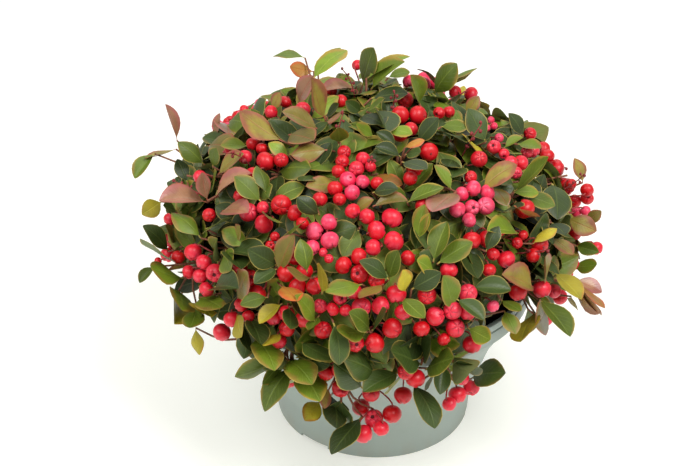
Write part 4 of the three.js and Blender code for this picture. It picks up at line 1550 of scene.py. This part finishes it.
class LeafRoom:
    """Tells where a leaf can go without cutting the pot, a berry or another leaf."""

    CELL = 0.006
    LARGEST_BALL = 0.012
    FARTHEST_VIEW = 0.035  # how far before a berry a leaf still counts as hiding it

    def __init__(self, crown):
        self.crown = crown
        self.spots = [
            [leaf_spot(shape, crown.leaf_breadth, *probe) for probe in PROBES]
            for shape in LEAF_SHAPES
        ]
        self.windows = []
        self.cells = {}

    def watch(self, windows):
        """Keeps more windows clear."""
        self.windows += windows
        self.tree = kdtree.KDTree(len(self.windows))
        for index, window in enumerate(self.windows):
            self.tree.insert(window.centre, index)
        self.tree.balance()

    def probe(self, matrix, shape):
        """Points over a leaf, to test what it would cut or hide."""
        return [matrix @ spot for spot in self.spots[shape]]

    def cell(self, point):
        """The cell of space that holds a point."""
        return tuple(math.floor(part / self.CELL) for part in point)

    def keep(self, points):
        """Remembers the middle of a leaf that has found its place."""
        for point in points:
            self.cells.setdefault(self.cell(point), []).append(point)

    def crowded(self, point):
        """True where another leaf lies too near."""
        x, y, z = self.cell(point)
        near = range(-1, 2)
        for place_at in ((x + i, y + j, z + k) for i in near for j in near for k in near):
            for other in self.cells.get(place_at, ()):
                if (other - point).length < self.crown.leaf_gap:
                    return True
        return False

    def cuts(self, point):
        """True where a leaf would lie in a berry, in a seen leaf or in the pot."""
        if point.z < LEAST_HEIGHT or in_pot(point):
            return True
        near = self.tree.find_range(point, self.LARGEST_BALL)
        return any(gap < self.windows[index].solid for _, index, gap in near)

    def hides(self, point):
        """True where a leaf would stand in front of a berry or a seen leaf."""
        for centre, index, _ in self.tree.find_range(point, self.FARTHEST_VIEW):
            window = self.windows[index]
            out = point - centre
            ahead = out.dot(window.look)
            aside = (out - window.look * ahead).length
            if ahead > 0 and aside < window.clear:
                return True
        return False

    def is_free(self, points, farthest):
        """True where a leaf can grow, within the farthest reach."""
        for point in points:
            if self.cuts(point) or crown_reach(self.crown, point) > farthest:
                return False
            if self.hides(point):
                return False
        return not any(self.crowded(point) for point in points[MIDDLE])


def pick_shape(number):
    """One of the leaf shapes, by its index."""
    return int(chance(number, USE["shape"]) * len(LEAF_SHAPES))


def place_seen_leaves(crown, stage, shoots, room):
    """The leaves that the photograph shows, each turned as it is seen there.

    A leaf that looks shorter than its width tells points its tip towards the camera, and one
    that looks narrower is rolled. One that would cut or hide something moves along the
    sight line.
    """
    placed = []
    windows = []
    eye = camera_axes(stage)[3]
    shortest, longest = SEEN_LEAF_SIZES
    for shoot in shoots:
        root = shoot.end
        chord = shoot.tip - root
        look = (eye - root).normalized()
        length = min(longest, max(shortest, chord.length, shoot.breadth / crown.leaf_breadth))
        flat = chord - look * chord.dot(look)
        rise = math.sqrt(max(0.0, length ** 2 - flat.length_squared))
        nearer = chord + look * (rise - chord.dot(look))
        heading = (nearer if rise > chord.dot(look) else chord).normalized()
        shown = shoot.breadth / (crown.leaf_breadth * length)
        roll = math.acos(min(1.0, max(NARROWEST, shown)))
        over = (look - heading * look.dot(heading)).normalized()
        faces = [Matrix.Rotation(way * roll, 3, heading) @ over for way in (1, -1)]
        face = max(faces, key=lambda side: side.z)
        shape = pick_shape(shoot.id)
        best = None
        for step in SEEN_STEPS:
            matrix = leaf_matrix(root + look * SEEN_STEP * step, heading, face, length)
            points = room.probe(matrix, shape)
            if any(room.cuts(point) for point in points):
                continue
            cost = abs(step) + HIDING_COST * sum(room.hides(point) for point in points)
            if best is None or cost < best[0]:
                best = (cost, matrix, points)
        if best is None:
            continue
        _, matrix, points = best
        shoot.path[-1] = matrix.translation.copy()
        room.keep(points[MIDDLE])
        placed.append(LeafPlace(matrix, shoot.tint, shape, chance(shoot.id, USE["leaf"])))
        clear = shoot.breadth * SEEN_CLEAR
        windows += [Window(point, look, LEAF_SPACE, clear) for point in points[:3]]
    room.watch(windows)
    return placed


def stalk_path(berry):
    """A berry's stalk, from its twig to the dimple in its top."""
    out = -berry.end * berry.radius
    top = berry.centre + out * STALK_HOLD
    return bezier(berry.anchor, top + out * STALK_BOW, top, 4)


def clear_gaps(crown, stage, room):
    """Keeps the sight lines free along which the photograph shows the pot."""
    eye = camera_axes(stage)[3]
    balls = []
    for column, row, radius in SEEN_GAPS:
        gap = seen_point(crown, stage, column, row, SEEN_TIP_REACH)
        look = (eye - gap).normalized()
        clear = radius / focal_pixels(stage) * (eye - gap).length
        for step in range(GAP_STEPS):
            balls.append(Window(gap - look * GAP_STEP * step, look, clear, clear))
    room.watch(balls)


# How the leaves of each layer grow.
LAYERS = {
    # layer: lowest and highest lift in degrees, farthest reach, size against full-grown
    "outer": (10, 50, 1.10, 1.0),
    "sprig": (30, 72, 1.36, 1.12),
    "fruit": (0, 30, 1.06, 0.95),
    "inner": (-8, 40, 0.90, 1.15),
}
ROSETTE_AXIS = (0.4, 0.45, 0.2)  # shares of the shoot's heading, the crown's outward way and up
TOP_COSINES = (0.3, 0.95)  # of the tilts where the crown's top starts and where it is full
LEAF_TRIES = 12  # ways that a leaf tries before it is left out
TRY_STEP = 0.37  # from one way to the next, as a share of the golden angle
SWING = 0.6  # radians between the farthest ways of one try
TOP_LIFT = 16  # how many degrees leaves rise more on top of the crown
YOUNG_LIFT = 26  # how many the youngest leaves of a rosette rise more
MOST_LIFT = 80
YOUNGEST_SIZE = 0.62
GROWN_SHARE = 0.8  # share of a rosette past which its leaves are full-grown
SIZE_SPREAD = (0.86, 1.16)
FIRST_LEAF = 0.001  # how far before a shoot's end its rosette starts
LEAF_STEP = 0.0022


def place_leaves(crown, stage, shoots, berries):
    """Leaves round each shoot's end. One that would cut something tries other ways."""
    room = LeafRoom(crown)
    balls = [(b.centre, b.look, b.radius * BERRY_SPACE, b.radius * b.window) for b in berries]
    room.watch([Window(*ball) for ball in balls])
    placed = place_seen_leaves(crown, stage, [s for s in shoots if s.tip], room)
    clear_gaps(crown, stage, room)
    stalks = [point for berry in berries for point in stalk_path(berry)[2:4]]
    room.watch([Window(point, UP, STALK_SPACE, 0.0) for point in stalks])
    for shoot in [s for s in shoots if s.leaves]:
        low, high, farthest, full = LAYERS[shoot.layer]
        if shoot.facing > EDGE_FACING:
            farthest = min(farthest, SHOWN_REACH)
        heading = shoot.heading
        ways = (heading, crown_normal(crown, shoot.end), UP)
        axis = sum((way * share for way, share in zip(ways, ROSETTE_AXIS)), Vector()).normalized()
        roll = chance(shoot.id, USE["roll"]) * 2 * math.pi
        high += TOP_LIFT * smooth_step(*TOP_COSINES, math.cos(shoot.tilt))
        for i in range(shoot.leaves):
            age = (i + 1) / shoot.leaves
            size = crown.leaf_length * full * lerp(YOUNGEST_SIZE, 1.0, min(1.0, age / GROWN_SHARE))
            size *= lerp(*SIZE_SPREAD, chance(shoot.id, USE["size"] + i))
            root = shoot.end - heading * (FIRST_LEAF + LEAF_STEP * i)
            shape = pick_shape(shoot.id + i * 0.37)
            for attempt in range(LEAF_TRIES):
                swing = (chance(shoot.id, USE["swing"] + i + attempt) - 0.5) * SWING
                angle = roll + (i + attempt * TRY_STEP) * GOLDEN_ANGLE + swing
                lift = lerp(low, high, chance(shoot.id, USE["lift"] + i + attempt))
                lift = math.radians(min(lift + YOUNG_LIFT * (1 - age), MOST_LIFT))
                out = besides(heading, angle) * math.cos(lift) + axis * math.sin(lift)
                matrix = leaf_matrix(root, out.normalized(), axis, size)
                points = room.probe(matrix, shape)
                if room.is_free(points, farthest):
                    room.keep(points[MIDDLE])
                    tone = chance(shoot.id, USE["leaf"] + i)
                    placed.append(LeafPlace(matrix, leaf_tint(shoot, i), shape, tone))
                    break
    return placed


KEPT_TINT_SHARE = 0.78
NEIGHBOURS = {
    "deep": ("deep", "mid"),
    "mid": ("mid", "deep", "fresh"),
    "fresh": ("fresh", "mid"),
    "bronze": ("bronze", "mid", "orange"),
    "orange": ("orange", "bronze"),
    "yellow": ("yellow", "mid"),
    "rosy": ("rosy", "bronze"),
    "shade": ("shade",),
}


def leaf_tint(shoot, index):
    """Most leaves of a spray keep its tint, and a few take a neighbouring one."""
    if chance(shoot.id, USE["tone"] + index * 3) < KEPT_TINT_SHARE:
        return shoot.tint
    near = NEIGHBOURS[shoot.tint]
    return near[int(chance(shoot.id, USE["tone"] + index * 5 + 1) * len(near))]


@dataclass
class Berry:
    """One berry: where it hangs, how big it is and which way its end points.

    No leaf hides the window, a share of its radius, towards the look.
    """

    centre: Vector
    radius: float
    end: Vector
    look: Vector
    window: float
    tone: str
    anchor: Vector
    id: int


def place_berries(crown, stage, shoots):
    """Berries where the photograph shows them, and round the ends of the other fruiting shoots."""
    berries = []
    eye = camera_axes(stage)[3]
    for shoot in shoots:
        normal = crown_normal(crown, shoot.end)
        for i in range(shoot.berries):
            number = shoot.id * 10 + i
            angle = chance(shoot.id, USE["roll"]) * 2 * math.pi + i * GOLDEN_ANGLE
            side = besides(normal, angle)
            if shoot.seen:
                centre, size = shoot.seen[i]
                radius = crown.berry_radius * size
                look = (eye - centre).normalized()
                window = SEEN_WINDOWS[shoot.tone]
            else:
                radius = crown.berry_radius * lerp(*BERRY_SIZES, chance(number, BERRY_USE["size"]))
                centre = shoot.end + side * radius * (BERRY_APART if i else 0.0)
                rise = lerp(*BERRY_RISES, chance(number, BERRY_USE["rise"]))
                centre += normal * radius * rise
                look = (normal + UP * 0.35).normalized()
                window = lerp(*BERRY_WINDOWS, chance(number, BERRY_USE["window"]))
            end = normal * 0.45 - UP * 0.7 + side * 0.4
            end += besides(normal, chance(number, BERRY_USE["lean"]) * NEAR_TURN) * 0.5
            if shoot.seen and chance(number, BERRY_USE["star"]) < STAR_SHARE:
                end = look + besides(look, chance(number, BERRY_USE["aim"]) * NEAR_TURN) * 0.4
            end.normalize()
            berries.append(Berry(centre, radius, end, look, window, shoot.tone, shoot.end, number))
    push_apart(berries)
    return berries


def push_apart(berries):
    """Moves berries till none meet another or the pot, but no further than they have to."""
    centres = np.array([tuple(b.centre) for b in berries])
    radii = np.array([b.radius for b in berries])
    home = centres.copy()
    for _ in range(PUSH_ROUNDS):
        gaps = centres[:, None] - centres[None]
        far = np.linalg.norm(gaps, axis=2)
        np.fill_diagonal(far, 1.0)
        inside = np.clip((radii[:, None] + radii[None]) * TOUCHING - far, 0.0, None)
        push = (gaps / far[..., None] * inside[..., None]).sum(axis=1) * PUSH_SHARE
        centres += push + (home - centres) * PULL_SHARE
        for i, berry in enumerate(berries):
            out = math.hypot(centres[i, 0], centres[i, 1])
            wanted = pot_radius(max(0.0, centres[i, 2])) + berry.radius + BERRY_POT_GAP
            if centres[i, 2] < POT_HEIGHT and out < wanted:
                centres[i, :2] *= wanted / out
    for berry, centre in zip(berries, centres):
        berry.centre = Vector(centre)


def foliage_nodes():
    """The solids that every kind of foliage stands in for."""
    return ["leaves_" + mass.name for mass in list_masses()]


# Operators

# The lights' places and widths.
LIGHTS = {
    "key": ((0.6, -0.65, 1.35), 0.7),
    "fill": ((-0.8, -0.6, 1.25), 0.9),
    "back": ((0.1, 1.0, 1.2), 1.2),
}
LIGHT_AIM = Vector((0.0, 0.0, 0.15))


class GAULTHERIA_OT_stage(Operator):
    """Make the pale floor, the soft light and the camera"""

    bl_idname = "gaultheria.stage"
    bl_label = "Make Stage"

    def execute(self, context):
        stage = settings(context, "stage")
        bm = bmesh.new()
        bmesh.ops.create_grid(bm, x_segments=2, y_segments=2, size=6.0)
        floor = bpy.data.objects.new("floor", mesh_from(bm, "floor"))
        context.scene.collection.objects.link(floor)
        material, tree, shader = new_material("floor", 0.8)
        soft = ramp(tree, noise_on(tree, object_place(tree), 1 / 0.25), 0.3, 0.7)
        value = tuple(stage.floor)
        mixed = blend_colour(tree, soft, scaled(value, 0.985), value)
        tree.links.new(mixed, shader.inputs["Base Color"])
        shader.inputs["Specular IOR Level"].default_value = 0.2
        shader.inputs["Emission Color"].default_value = (*value, 1.0)
        shader.inputs["Emission Strength"].default_value = stage.floor_glow
        floor.data.materials.append(material)

        world = bpy.data.worlds.new("studio")
        context.scene.world = world
        world.use_nodes = True
        sky = world.node_tree.nodes["Background"]
        sky.inputs["Color"].default_value = (*stage.sky, 1.0)
        sky.inputs["Strength"].default_value = stage.sky_strength
        for name, (place_at, size) in LIGHTS.items():
            self.add_light(context, name, place_at, size, getattr(stage, name + "_power"))
        self.add_camera(context, stage)
        context.scene.view_settings.view_transform = "Standard"
        return {"FINISHED"}

    def add_light(self, context, name, place_at, size, power):
        """A square soft light that looks at the crown."""
        lamp = bpy.data.lights.new(name, "AREA")
        lamp.energy = power
        lamp.size = size
        light = bpy.data.objects.new(name, lamp)
        light.location = place_at
        aim = LIGHT_AIM - Vector(place_at)
        light.rotation_euler = aim.to_track_quat("-Z", "Y").to_euler()
        context.scene.collection.objects.link(light)

    def add_camera(self, context, stage):
        data = bpy.data.cameras.new("camera")
        data.lens = stage.focal_length
        data.sensor_width = SENSOR_WIDTH
        camera = bpy.data.objects.new("camera", data)
        side, top, ahead, eye = camera_axes(stage)
        turned = Matrix((side, top, -ahead)).transposed().to_4x4()
        turned.translation = eye
        camera.matrix_world = turned
        context.scene.collection.objects.link(camera)
        context.scene.camera = camera


def smooth_profile(points, steps):
    """Points of [radius, height] along a smooth curve through the given ones."""
    fine = []
    for i in range(len(points) - 1):
        before = points[max(0, i - 1)]
        start, end = points[i], points[i + 1]
        after = points[min(len(points) - 1, i + 2)]
        for k in range(steps):
            t = k / steps
            pair = []
            for a, b, c, d in zip(before, start, end, after):
                bent = 2 * b + (c - a) * t + (2 * a - 5 * b + 4 * c - d) * t * t
                pair.append((bent + (3 * b - a - 3 * c + d) * t ** 3) / 2)
            fine.append(tuple(pair))
    fine.append(points[-1])
    return fine


def spin_profile(profile, steps):
    """A closed solid from a profile of (radius, height) that starts and ends on the axis."""
    bm = bmesh.new()
    verts = [bm.verts.new((radius, 0.0, height)) for radius, height in profile]
    edges = [bm.edges.new(pair) for pair in zip(verts, verts[1:])]
    bmesh.ops.spin(
        bm, geom=verts + edges, cent=(0, 0, 0), axis=(0, 0, 1), dvec=(0, 0, 0),
        angle=2 * math.pi, steps=steps, use_merge=True, use_normal_flip=False,
        use_duplicate=False,
    )
    bmesh.ops.remove_doubles(bm, verts=bm.verts, dist=1e-6)
    bmesh.ops.recalc_face_normals(bm, faces=bm.faces)
    return bm


def ring_edges(bm, rings):
    """The level edges at some (radius, height) rings."""
    found = []
    for edge in bm.edges:
        places = [(vert.co.xy.length, vert.co.z) for vert in edge.verts]
        for radius, height in rings:
            if all(abs(r - radius) < 1e-4 and abs(h - height) < 1e-5 for r, h in places):
                found.append(edge)
    return found


def smooth_faces(bm, limit):
    """Smooth shading, with edges that turn more than the limit kept sharp."""
    for face in bm.faces:
        face.smooth = True
    for edge in bm.edges:
        edge.smooth = len(edge.link_faces) != 2 or edge.calc_face_angle(0.0) < limit


class GAULTHERIA_OT_pot(Operator):
    """Make the plastic pot with its rounded rim, groove and drain notches"""

    bl_idname = "gaultheria.pot"
    bl_label = "Make Pot"

    def execute(self, context):
        pot = settings(context, "pot")
        outside = [(0.0, pot.foot_radius), *BOWL, (pot.collar_bottom, pot.collar_radius)]
        outside = [(radius, height) for height, radius in outside]
        outside = outside[:1] + smooth_profile(outside[1:], steps=5)
        inside = [(radius - pot.wall, height) for height, radius in reversed(BOWL)]
        groove_top = pot.groove_height + pot.groove_width
        groove_radius = pot.collar_radius - pot.groove_depth
        rings = {
            "rim_out": (pot.collar_radius, pot.height),
            "rim_in": (pot.rim_inner_radius, pot.height),
            "foot": (pot.foot_radius, 0.0),
            "collar": (pot.collar_radius, pot.collar_bottom),
            "low": (pot.collar_radius, pot.groove_height),
            "high": (pot.collar_radius, groove_top),
        }
        profile = [
            (0.0, 0.0),
            *FOOT_RING,
            *outside,
            rings["low"],
            (groove_radius, pot.groove_height + GROOVE_SLOPE),
            (groove_radius, groove_top - GROOVE_SLOPE),
            rings["high"],
            rings["rim_out"],
            rings["rim_in"],
            *inside,
            (pot.foot_radius - pot.wall, pot.floor),
            (0.0, pot.floor),
        ]
        bm = spin_profile(profile, steps=96)
        for names, offset, segments in (
            (("rim_out", "rim_in", "foot"), pot.rounding, 3),
            (("collar", "low", "high"), EDGE_ROUNDING, 2),
        ):
            bmesh.ops.bevel(
                bm, geom=ring_edges(bm, [rings[name] for name in names]), offset=offset,
                offset_type="OFFSET", segments=segments, profile=0.5, affect="EDGES", material=-1,
            )
        smooth_faces(bm, math.radians(32))
        mesh = self.cut_drains(context, mesh_from(bm, "pot_body"), pot)
        finish_piece("pot_body", mesh, [plastic_material(pot)], ["pot"])
        return {"FINISHED"}

    def cut_drains(self, context, mesh, pot):
        """Cuts the drain notches out of the foot with one boolean, applied."""
        bm = bmesh.new()
        for i in range(DRAIN_COUNT):
            turn = DRAIN_TURN + i * 2 * math.pi / DRAIN_COUNT
            size = Matrix.Diagonal((DRAIN_DEPTH, pot.drain_width, pot.drain_height * 2, 1.0))
            spot = Matrix.Translation((pot.foot_radius, 0.0, 0.0))
            matrix = Matrix.Rotation(turn, 4, "Z") @ spot @ size
            bmesh.ops.create_cube(bm, size=1.0, matrix=matrix)
        cutter = bpy.data.objects.new("drain_cutter", mesh_from(bm, "drain_cutter"))
        blank = bpy.data.objects.new("pot_blank", mesh)
        context.scene.collection.objects.link(cutter)
        context.scene.collection.objects.link(blank)
        cut = blank.modifiers.new("drains", "BOOLEAN")
        cut.operation = "DIFFERENCE"
        cut.solver = "EXACT"
        cut.object = cutter
        graph = context.evaluated_depsgraph_get()
        made = bpy.data.meshes.new_from_object(blank.evaluated_get(graph))
        bpy.data.objects.remove(blank)
        bpy.data.objects.remove(cutter)
        made.name = "pot_body"
        return made


class GAULTHERIA_OT_compost(Operator):
    """Make the crumbly compost that fills the pot"""

    bl_idname = "gaultheria.compost"
    bl_label = "Make Compost"

    def execute(self, context):
        pot = settings(context, "pot")
        wall = pot.wall + COMPOST_GAP
        bottom = pot.floor + COMPOST_DIP
        side = [(radius - wall, height) for height, radius in BOWL[:-1]]
        shares = [i / COMPOST_RINGS for i in range(COMPOST_RINGS + 1)]
        top = [(lerp(COMPOST_RADIUS, 0.0, share), pot.compost_height) for share in shares]
        corner = (pot.foot_radius - wall, bottom)
        bm = spin_profile([(0.0, bottom), corner, *side, *top], steps=84)
        for vert in bm.verts:
            if vert.co.z < pot.compost_height - 0.001:
                continue
            flat = vert.co.xy.length
            bumps = sum(noise.noise(vert.co * scale) * height for scale, height in CRUMBS)
            bumps += COMPOST_HUMP * smooth_step(0.07, 0.02, flat)
            vert.co.z += bumps * smooth_step(0.1056, 0.100, flat) - COMPOST_DIP
        smooth_faces(bm, math.radians(60))
        mesh = mesh_from(bm, "compost_bed")
        finish_piece("compost_bed", mesh, [compost_material(pot)], ["compost"])
        return {"FINISHED"}


def roughen(points, centres, depth, scale):
    """Pushes a limb's points in and out from its path, in ridges along it."""
    out = points - centres
    far = np.linalg.norm(out, axis=1, keepdims=True)
    far[far < 1e-9] = 1.0
    shifts = []
    for point in points:
        ridged = Vector(point * (scale, scale, scale * RIDGE_STRETCH))
        shifts.append(noise.noise(ridged) + 0.5 * noise.noise(ridged * FINER_RIDGES))
    return points + out / far * np.array(shifts)[:, None] * depth


class GAULTHERIA_OT_wood(Operator):
    """Make the short stem and the boughs with their bark"""

    bl_idname = "gaultheria.wood"
    bl_label = "Make Stem and Boughs"

    def execute(self, context):
        crown = settings(context, "crown")
        colours = settings(context, "colours")
        material = bark_material(
            "bark", colours.bark, flake=2.1, size=420.0, roughness=0.85, relief=0.0006
        )

        tube = tube_template(sides=20, rings=26)
        heights = [STEM_HEIGHT * i / 13 for i in range(14)]
        path = [Vector((0.0, 0.0, STEM_FOOT + height)) for height in heights]
        points = bend_tube(tube, path, np.interp(heights, *zip(*STEM_PROFILE)) * BARK_INSET)
        stem = Gathered()
        stem.add(tube, roughen(points, points * (0.0, 0.0, 1.0), depth=0.0006, scale=260))
        stem.piece("stem_bark", [material], "bark", ["short_stem"])

        limb = tube_template(sides=12, rings=18)
        boughs = Gathered()
        names = []
        for mass in list_masses():
            hub = hub_of(crown, mass)
            entrance = crown_point(crown, mass.turn, mass.stem_tilt, LIMB_END)
            heading = (hub - entrance).normalized()
            start = Vector((0.0, 0.0, STEM_FOOT + mass.bough_height))
            path = bezier(start, entrance - heading * BOUGH_RUN, entrance, 9)
            path += [entrance.lerp(hub, 0.5), hub]
            points = bend_tube(limb, path, taper(path, BOUGH_ROOT, BOUGH_TIP))
            middles = bend_tube(limb, path, 0.0)
            boughs.add(limb, roughen(points, middles, depth=0.0003, scale=420))
            names.append("bough_" + mass.name)
        boughs.piece("bough_bark", [material], "bark", names)
        return {"FINISHED"}


class GAULTHERIA_OT_foliage(Operator):
    """Grow the twigs, berries and leaves of every mass"""

    bl_idname = "gaultheria.foliage"
    bl_label = "Grow Foliage"

    def execute(self, context):
        crown = settings(context, "crown")
        colours = settings(context, "colours")
        stage = settings(context, "stage")
        main, finer = grow_shoots(crown, stage)
        berries = place_berries(crown, stage, [s for s in main + finer if s.berries])
        if not berries:
            raise RuntimeError("no shoot bears a berry")
        leaves = place_leaves(crown, stage, main + finer, berries)
        self.make_twigs(crown, colours, main, finer)
        self.make_berries(colours, berries)
        self.make_leaves(crown, colours, leaves)
        self.make_flower_stalks(crown, colours)
        return {"FINISHED"}

    def make_twigs(self, crown, colours, main, finer):
        material = bark_material(
            "twig_bark", colours.twig, flake=1.5, size=900.0, roughness=0.6, relief=0.0002
        )
        twigs = Gathered()
        for tube, shoots, thick, thin in (
            (tube_template(sides=6, rings=8), main, 1.0, 0.55),
            (tube_template(sides=5, rings=5), finer, 0.7, 0.45),
        ):
            for shoot in shoots:
                radii = taper(shoot.path, crown.twig_radius * thick, crown.twig_radius * thin)
                twigs.add(tube, bend_tube(tube, shoot.path, radii))
        twigs.piece("twigs", [material], "bark", foliage_nodes())

    def make_berries(self, colours, berries):
        lobed = berry_template(lobes=0.10, opening=0.16, eye=False)
        starred = berry_template(lobes=0.20, opening=0.45, eye=True)
        smooth = berry_template(lobes=0.03, opening=0.06, eye=False)
        thin = tube_template(sides=5, rings=4)
        # The open berries' dark eye is painted shade in their opening.
        eye = plain_material("berry_eye", screen(84, 16, 22), roughness=0.7, size=0.0008)
        red = tuple(colours.stalk)
        stalk = plain_material("berry_stalk", red, roughness=0.55, size=0.002)
        stalks = Gathered()
        # Each tone's bloom colour is partly the skin's own pink and partly painted sheen.
        for tone, (bloom_and_sheen_colour, amount) in BLOOM_AND_SHEEN.items():
            gathered = Gathered()
            for berry in [b for b in berries if b.tone == tone]:
                pick = chance(berry.id, BERRY_USE["shape"])
                shape = lobed if pick < 0.3 else starred if pick < 0.5 else smooth
                turn = Matrix.Rotation(chance(berry.id, BERRY_USE["turn"]) * NEAR_TURN, 4, "Z")
                aim = (-berry.end).to_track_quat("Z", "X").to_matrix().to_4x4()
                size = Matrix.Diagonal((berry.radius, berry.radius, berry.radius, 1.0))
                matrix = Matrix.Translation(berry.centre) @ aim @ turn @ size
                gathered.add_at(shape, matrix, chance(berry.id, BERRY_USE["tone"]))
                stalks.add(thin, bend_tube(thin, stalk_path(berry), STALK_RADIUS))
            values = {
                "Skin": tuple(getattr(colours, tone)),
                "Bloom": screen(*bloom_and_sheen_colour),
                "Bloom Amount": amount,
            }
            skin, _, shader, _ = grouped_material(
                "berry_" + tone, berry_skin(), values, BERRY_ROUGHNESS, BERRY_RELIEF, BERRY_SHEEN
            )
            shader.inputs["Coat Roughness"].default_value = BERRY_SOFTNESS
            gathered.piece("berries_" + tone, [skin, eye], "foliage", foliage_nodes())
        stalks.piece("berry_stalks", [stalk], "foliage", foliage_nodes())

    def make_leaves(self, crown, colours, placed):
        shapes = [leaf_template(shape, crown.leaf_breadth) for shape in LEAF_SHAPES]
        straw = plain_material("leaf_edge", screen(158, 142, 66), roughness=0.5, size=0.01)
        red = plain_material("leaf_edge_red", screen(158, 86, 62), roughness=0.5, size=0.01)
        dim = plain_material("leaf_edge_shade", screen(76, 78, 40), roughness=0.5, size=0.01)
        edges = {"bronze": red, "rosy": red, "orange": red, "shade": dim}
        for tint in LEAF_LOOKS:
            gathered = Gathered()
            for leaf in [p for p in placed if p.tint == tint]:
                gathered.add_at(shapes[leaf.shape], leaf.matrix, leaf.tone)
            if gathered.count:
                looks = [leaf_material(tint, colours), edges.get(tint, straw)]
                gathered.piece("leaves_" + tint + "_tint", looks, "foliage", foliage_nodes())

    def make_flower_stalks(self, crown, colours):
        """Dried flower stalks with their little buds."""
        thin = tube_template(sides=5, rings=6)
        bud = ball_template()
        dried = screen(132, 44, 46)
        material = plain_material("flower_stalk", dried, roughness=0.6, size=0.002)
        gathered = Gathered()
        for number, (turn, tilt, reach) in enumerate(FLOWER_STALKS):
            turn, tilt = math.radians(turn), math.radians(tilt)
            start = crown_point(crown, turn, tilt, reach - FLOWER_DEPTH)
            normal = crown_normal(crown, start)
            lean = besides(normal, chance(number, FLOWER_USE["lean"]) * NEAR_TURN)
            end = start + normal * FLOWER_RISE + lean * FLOWER_LEAN
            path = bezier(start, start + normal * FLOWER_BOW, end, STALK_STEPS)
            radii = taper(path, STALK_RADIUS, BUD_STALK_RADIUS)
            gathered.add(thin, bend_tube(thin, path, radii))
            for k in range(BUDS):
                at = path[2 + k % 5]
                tip = at + besides(normal, k * GOLDEN_ANGLE) * BUD_STALK
                twiglet = [at, at.lerp(tip, 0.5), tip]
                gathered.add(thin, bend_tube(thin, twiglet, BUD_STALK_RADIUS))
                size = lerp(*BUD_SIZES, chance(number * 10 + k, FLOWER_USE["bud"]))
                matrix = Matrix.Translation(tip) @ Matrix.Diagonal((size, size, size * 1.3, 1))
                gathered.add_at(bud, matrix)
        gathered.piece("flower_stalks", [material], "foliage", foliage_nodes())


class GAULTHERIA_PT_panel(Panel):
    """Lists the steps and the settings"""

    bl_idname = "GAULTHERIA_PT_panel"
    bl_label = "Gaultheria"
    bl_space_type = "VIEW_3D"
    bl_region_type = "UI"
    bl_category = "Gaultheria"

    def draw(self, context):
        layout = self.layout
        for operator in OPERATORS:
            layout.operator(operator.bl_idname)
        for part, group in SETTINGS.items():
            box = layout.box()
            box.label(text=part.title())
            for name in group.__annotations__:
                box.prop(settings(context, part), name)


SETTINGS = {
    "stage": GaultheriaStageSettings,
    "pot": GaultheriaPotSettings,
    "crown": GaultheriaCrownSettings,
    "colours": GaultheriaColourSettings,
}
OPERATORS = (
    GAULTHERIA_OT_stage,
    GAULTHERIA_OT_pot,
    GAULTHERIA_OT_compost,
    GAULTHERIA_OT_wood,
    GAULTHERIA_OT_foliage,
)
CLASSES = (*SETTINGS.values(), *OPERATORS, GAULTHERIA_PT_panel)


def register():
    for cls in CLASSES:
        bpy.utils.register_class(cls)
    for part, group in SETTINGS.items():
        setattr(bpy.types.Scene, "gaultheria_" + part, PointerProperty(type=group))


def unregister():
    for part in SETTINGS:
        delattr(bpy.types.Scene, "gaultheria_" + part)
    for cls in reversed(CLASSES):
        bpy.utils.unregister_class(cls)


def write_sizes():
    """Brings the view layer up to date."""
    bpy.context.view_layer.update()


def main():
    register()
    bpy.ops.gaultheria.stage()
    bpy.ops.gaultheria.pot()
    bpy.ops.gaultheria.compost()
    bpy.ops.gaultheria.wood()
    bpy.ops.gaultheria.foliage()
    write_sizes()


if __name__ == "__main__":
    main()
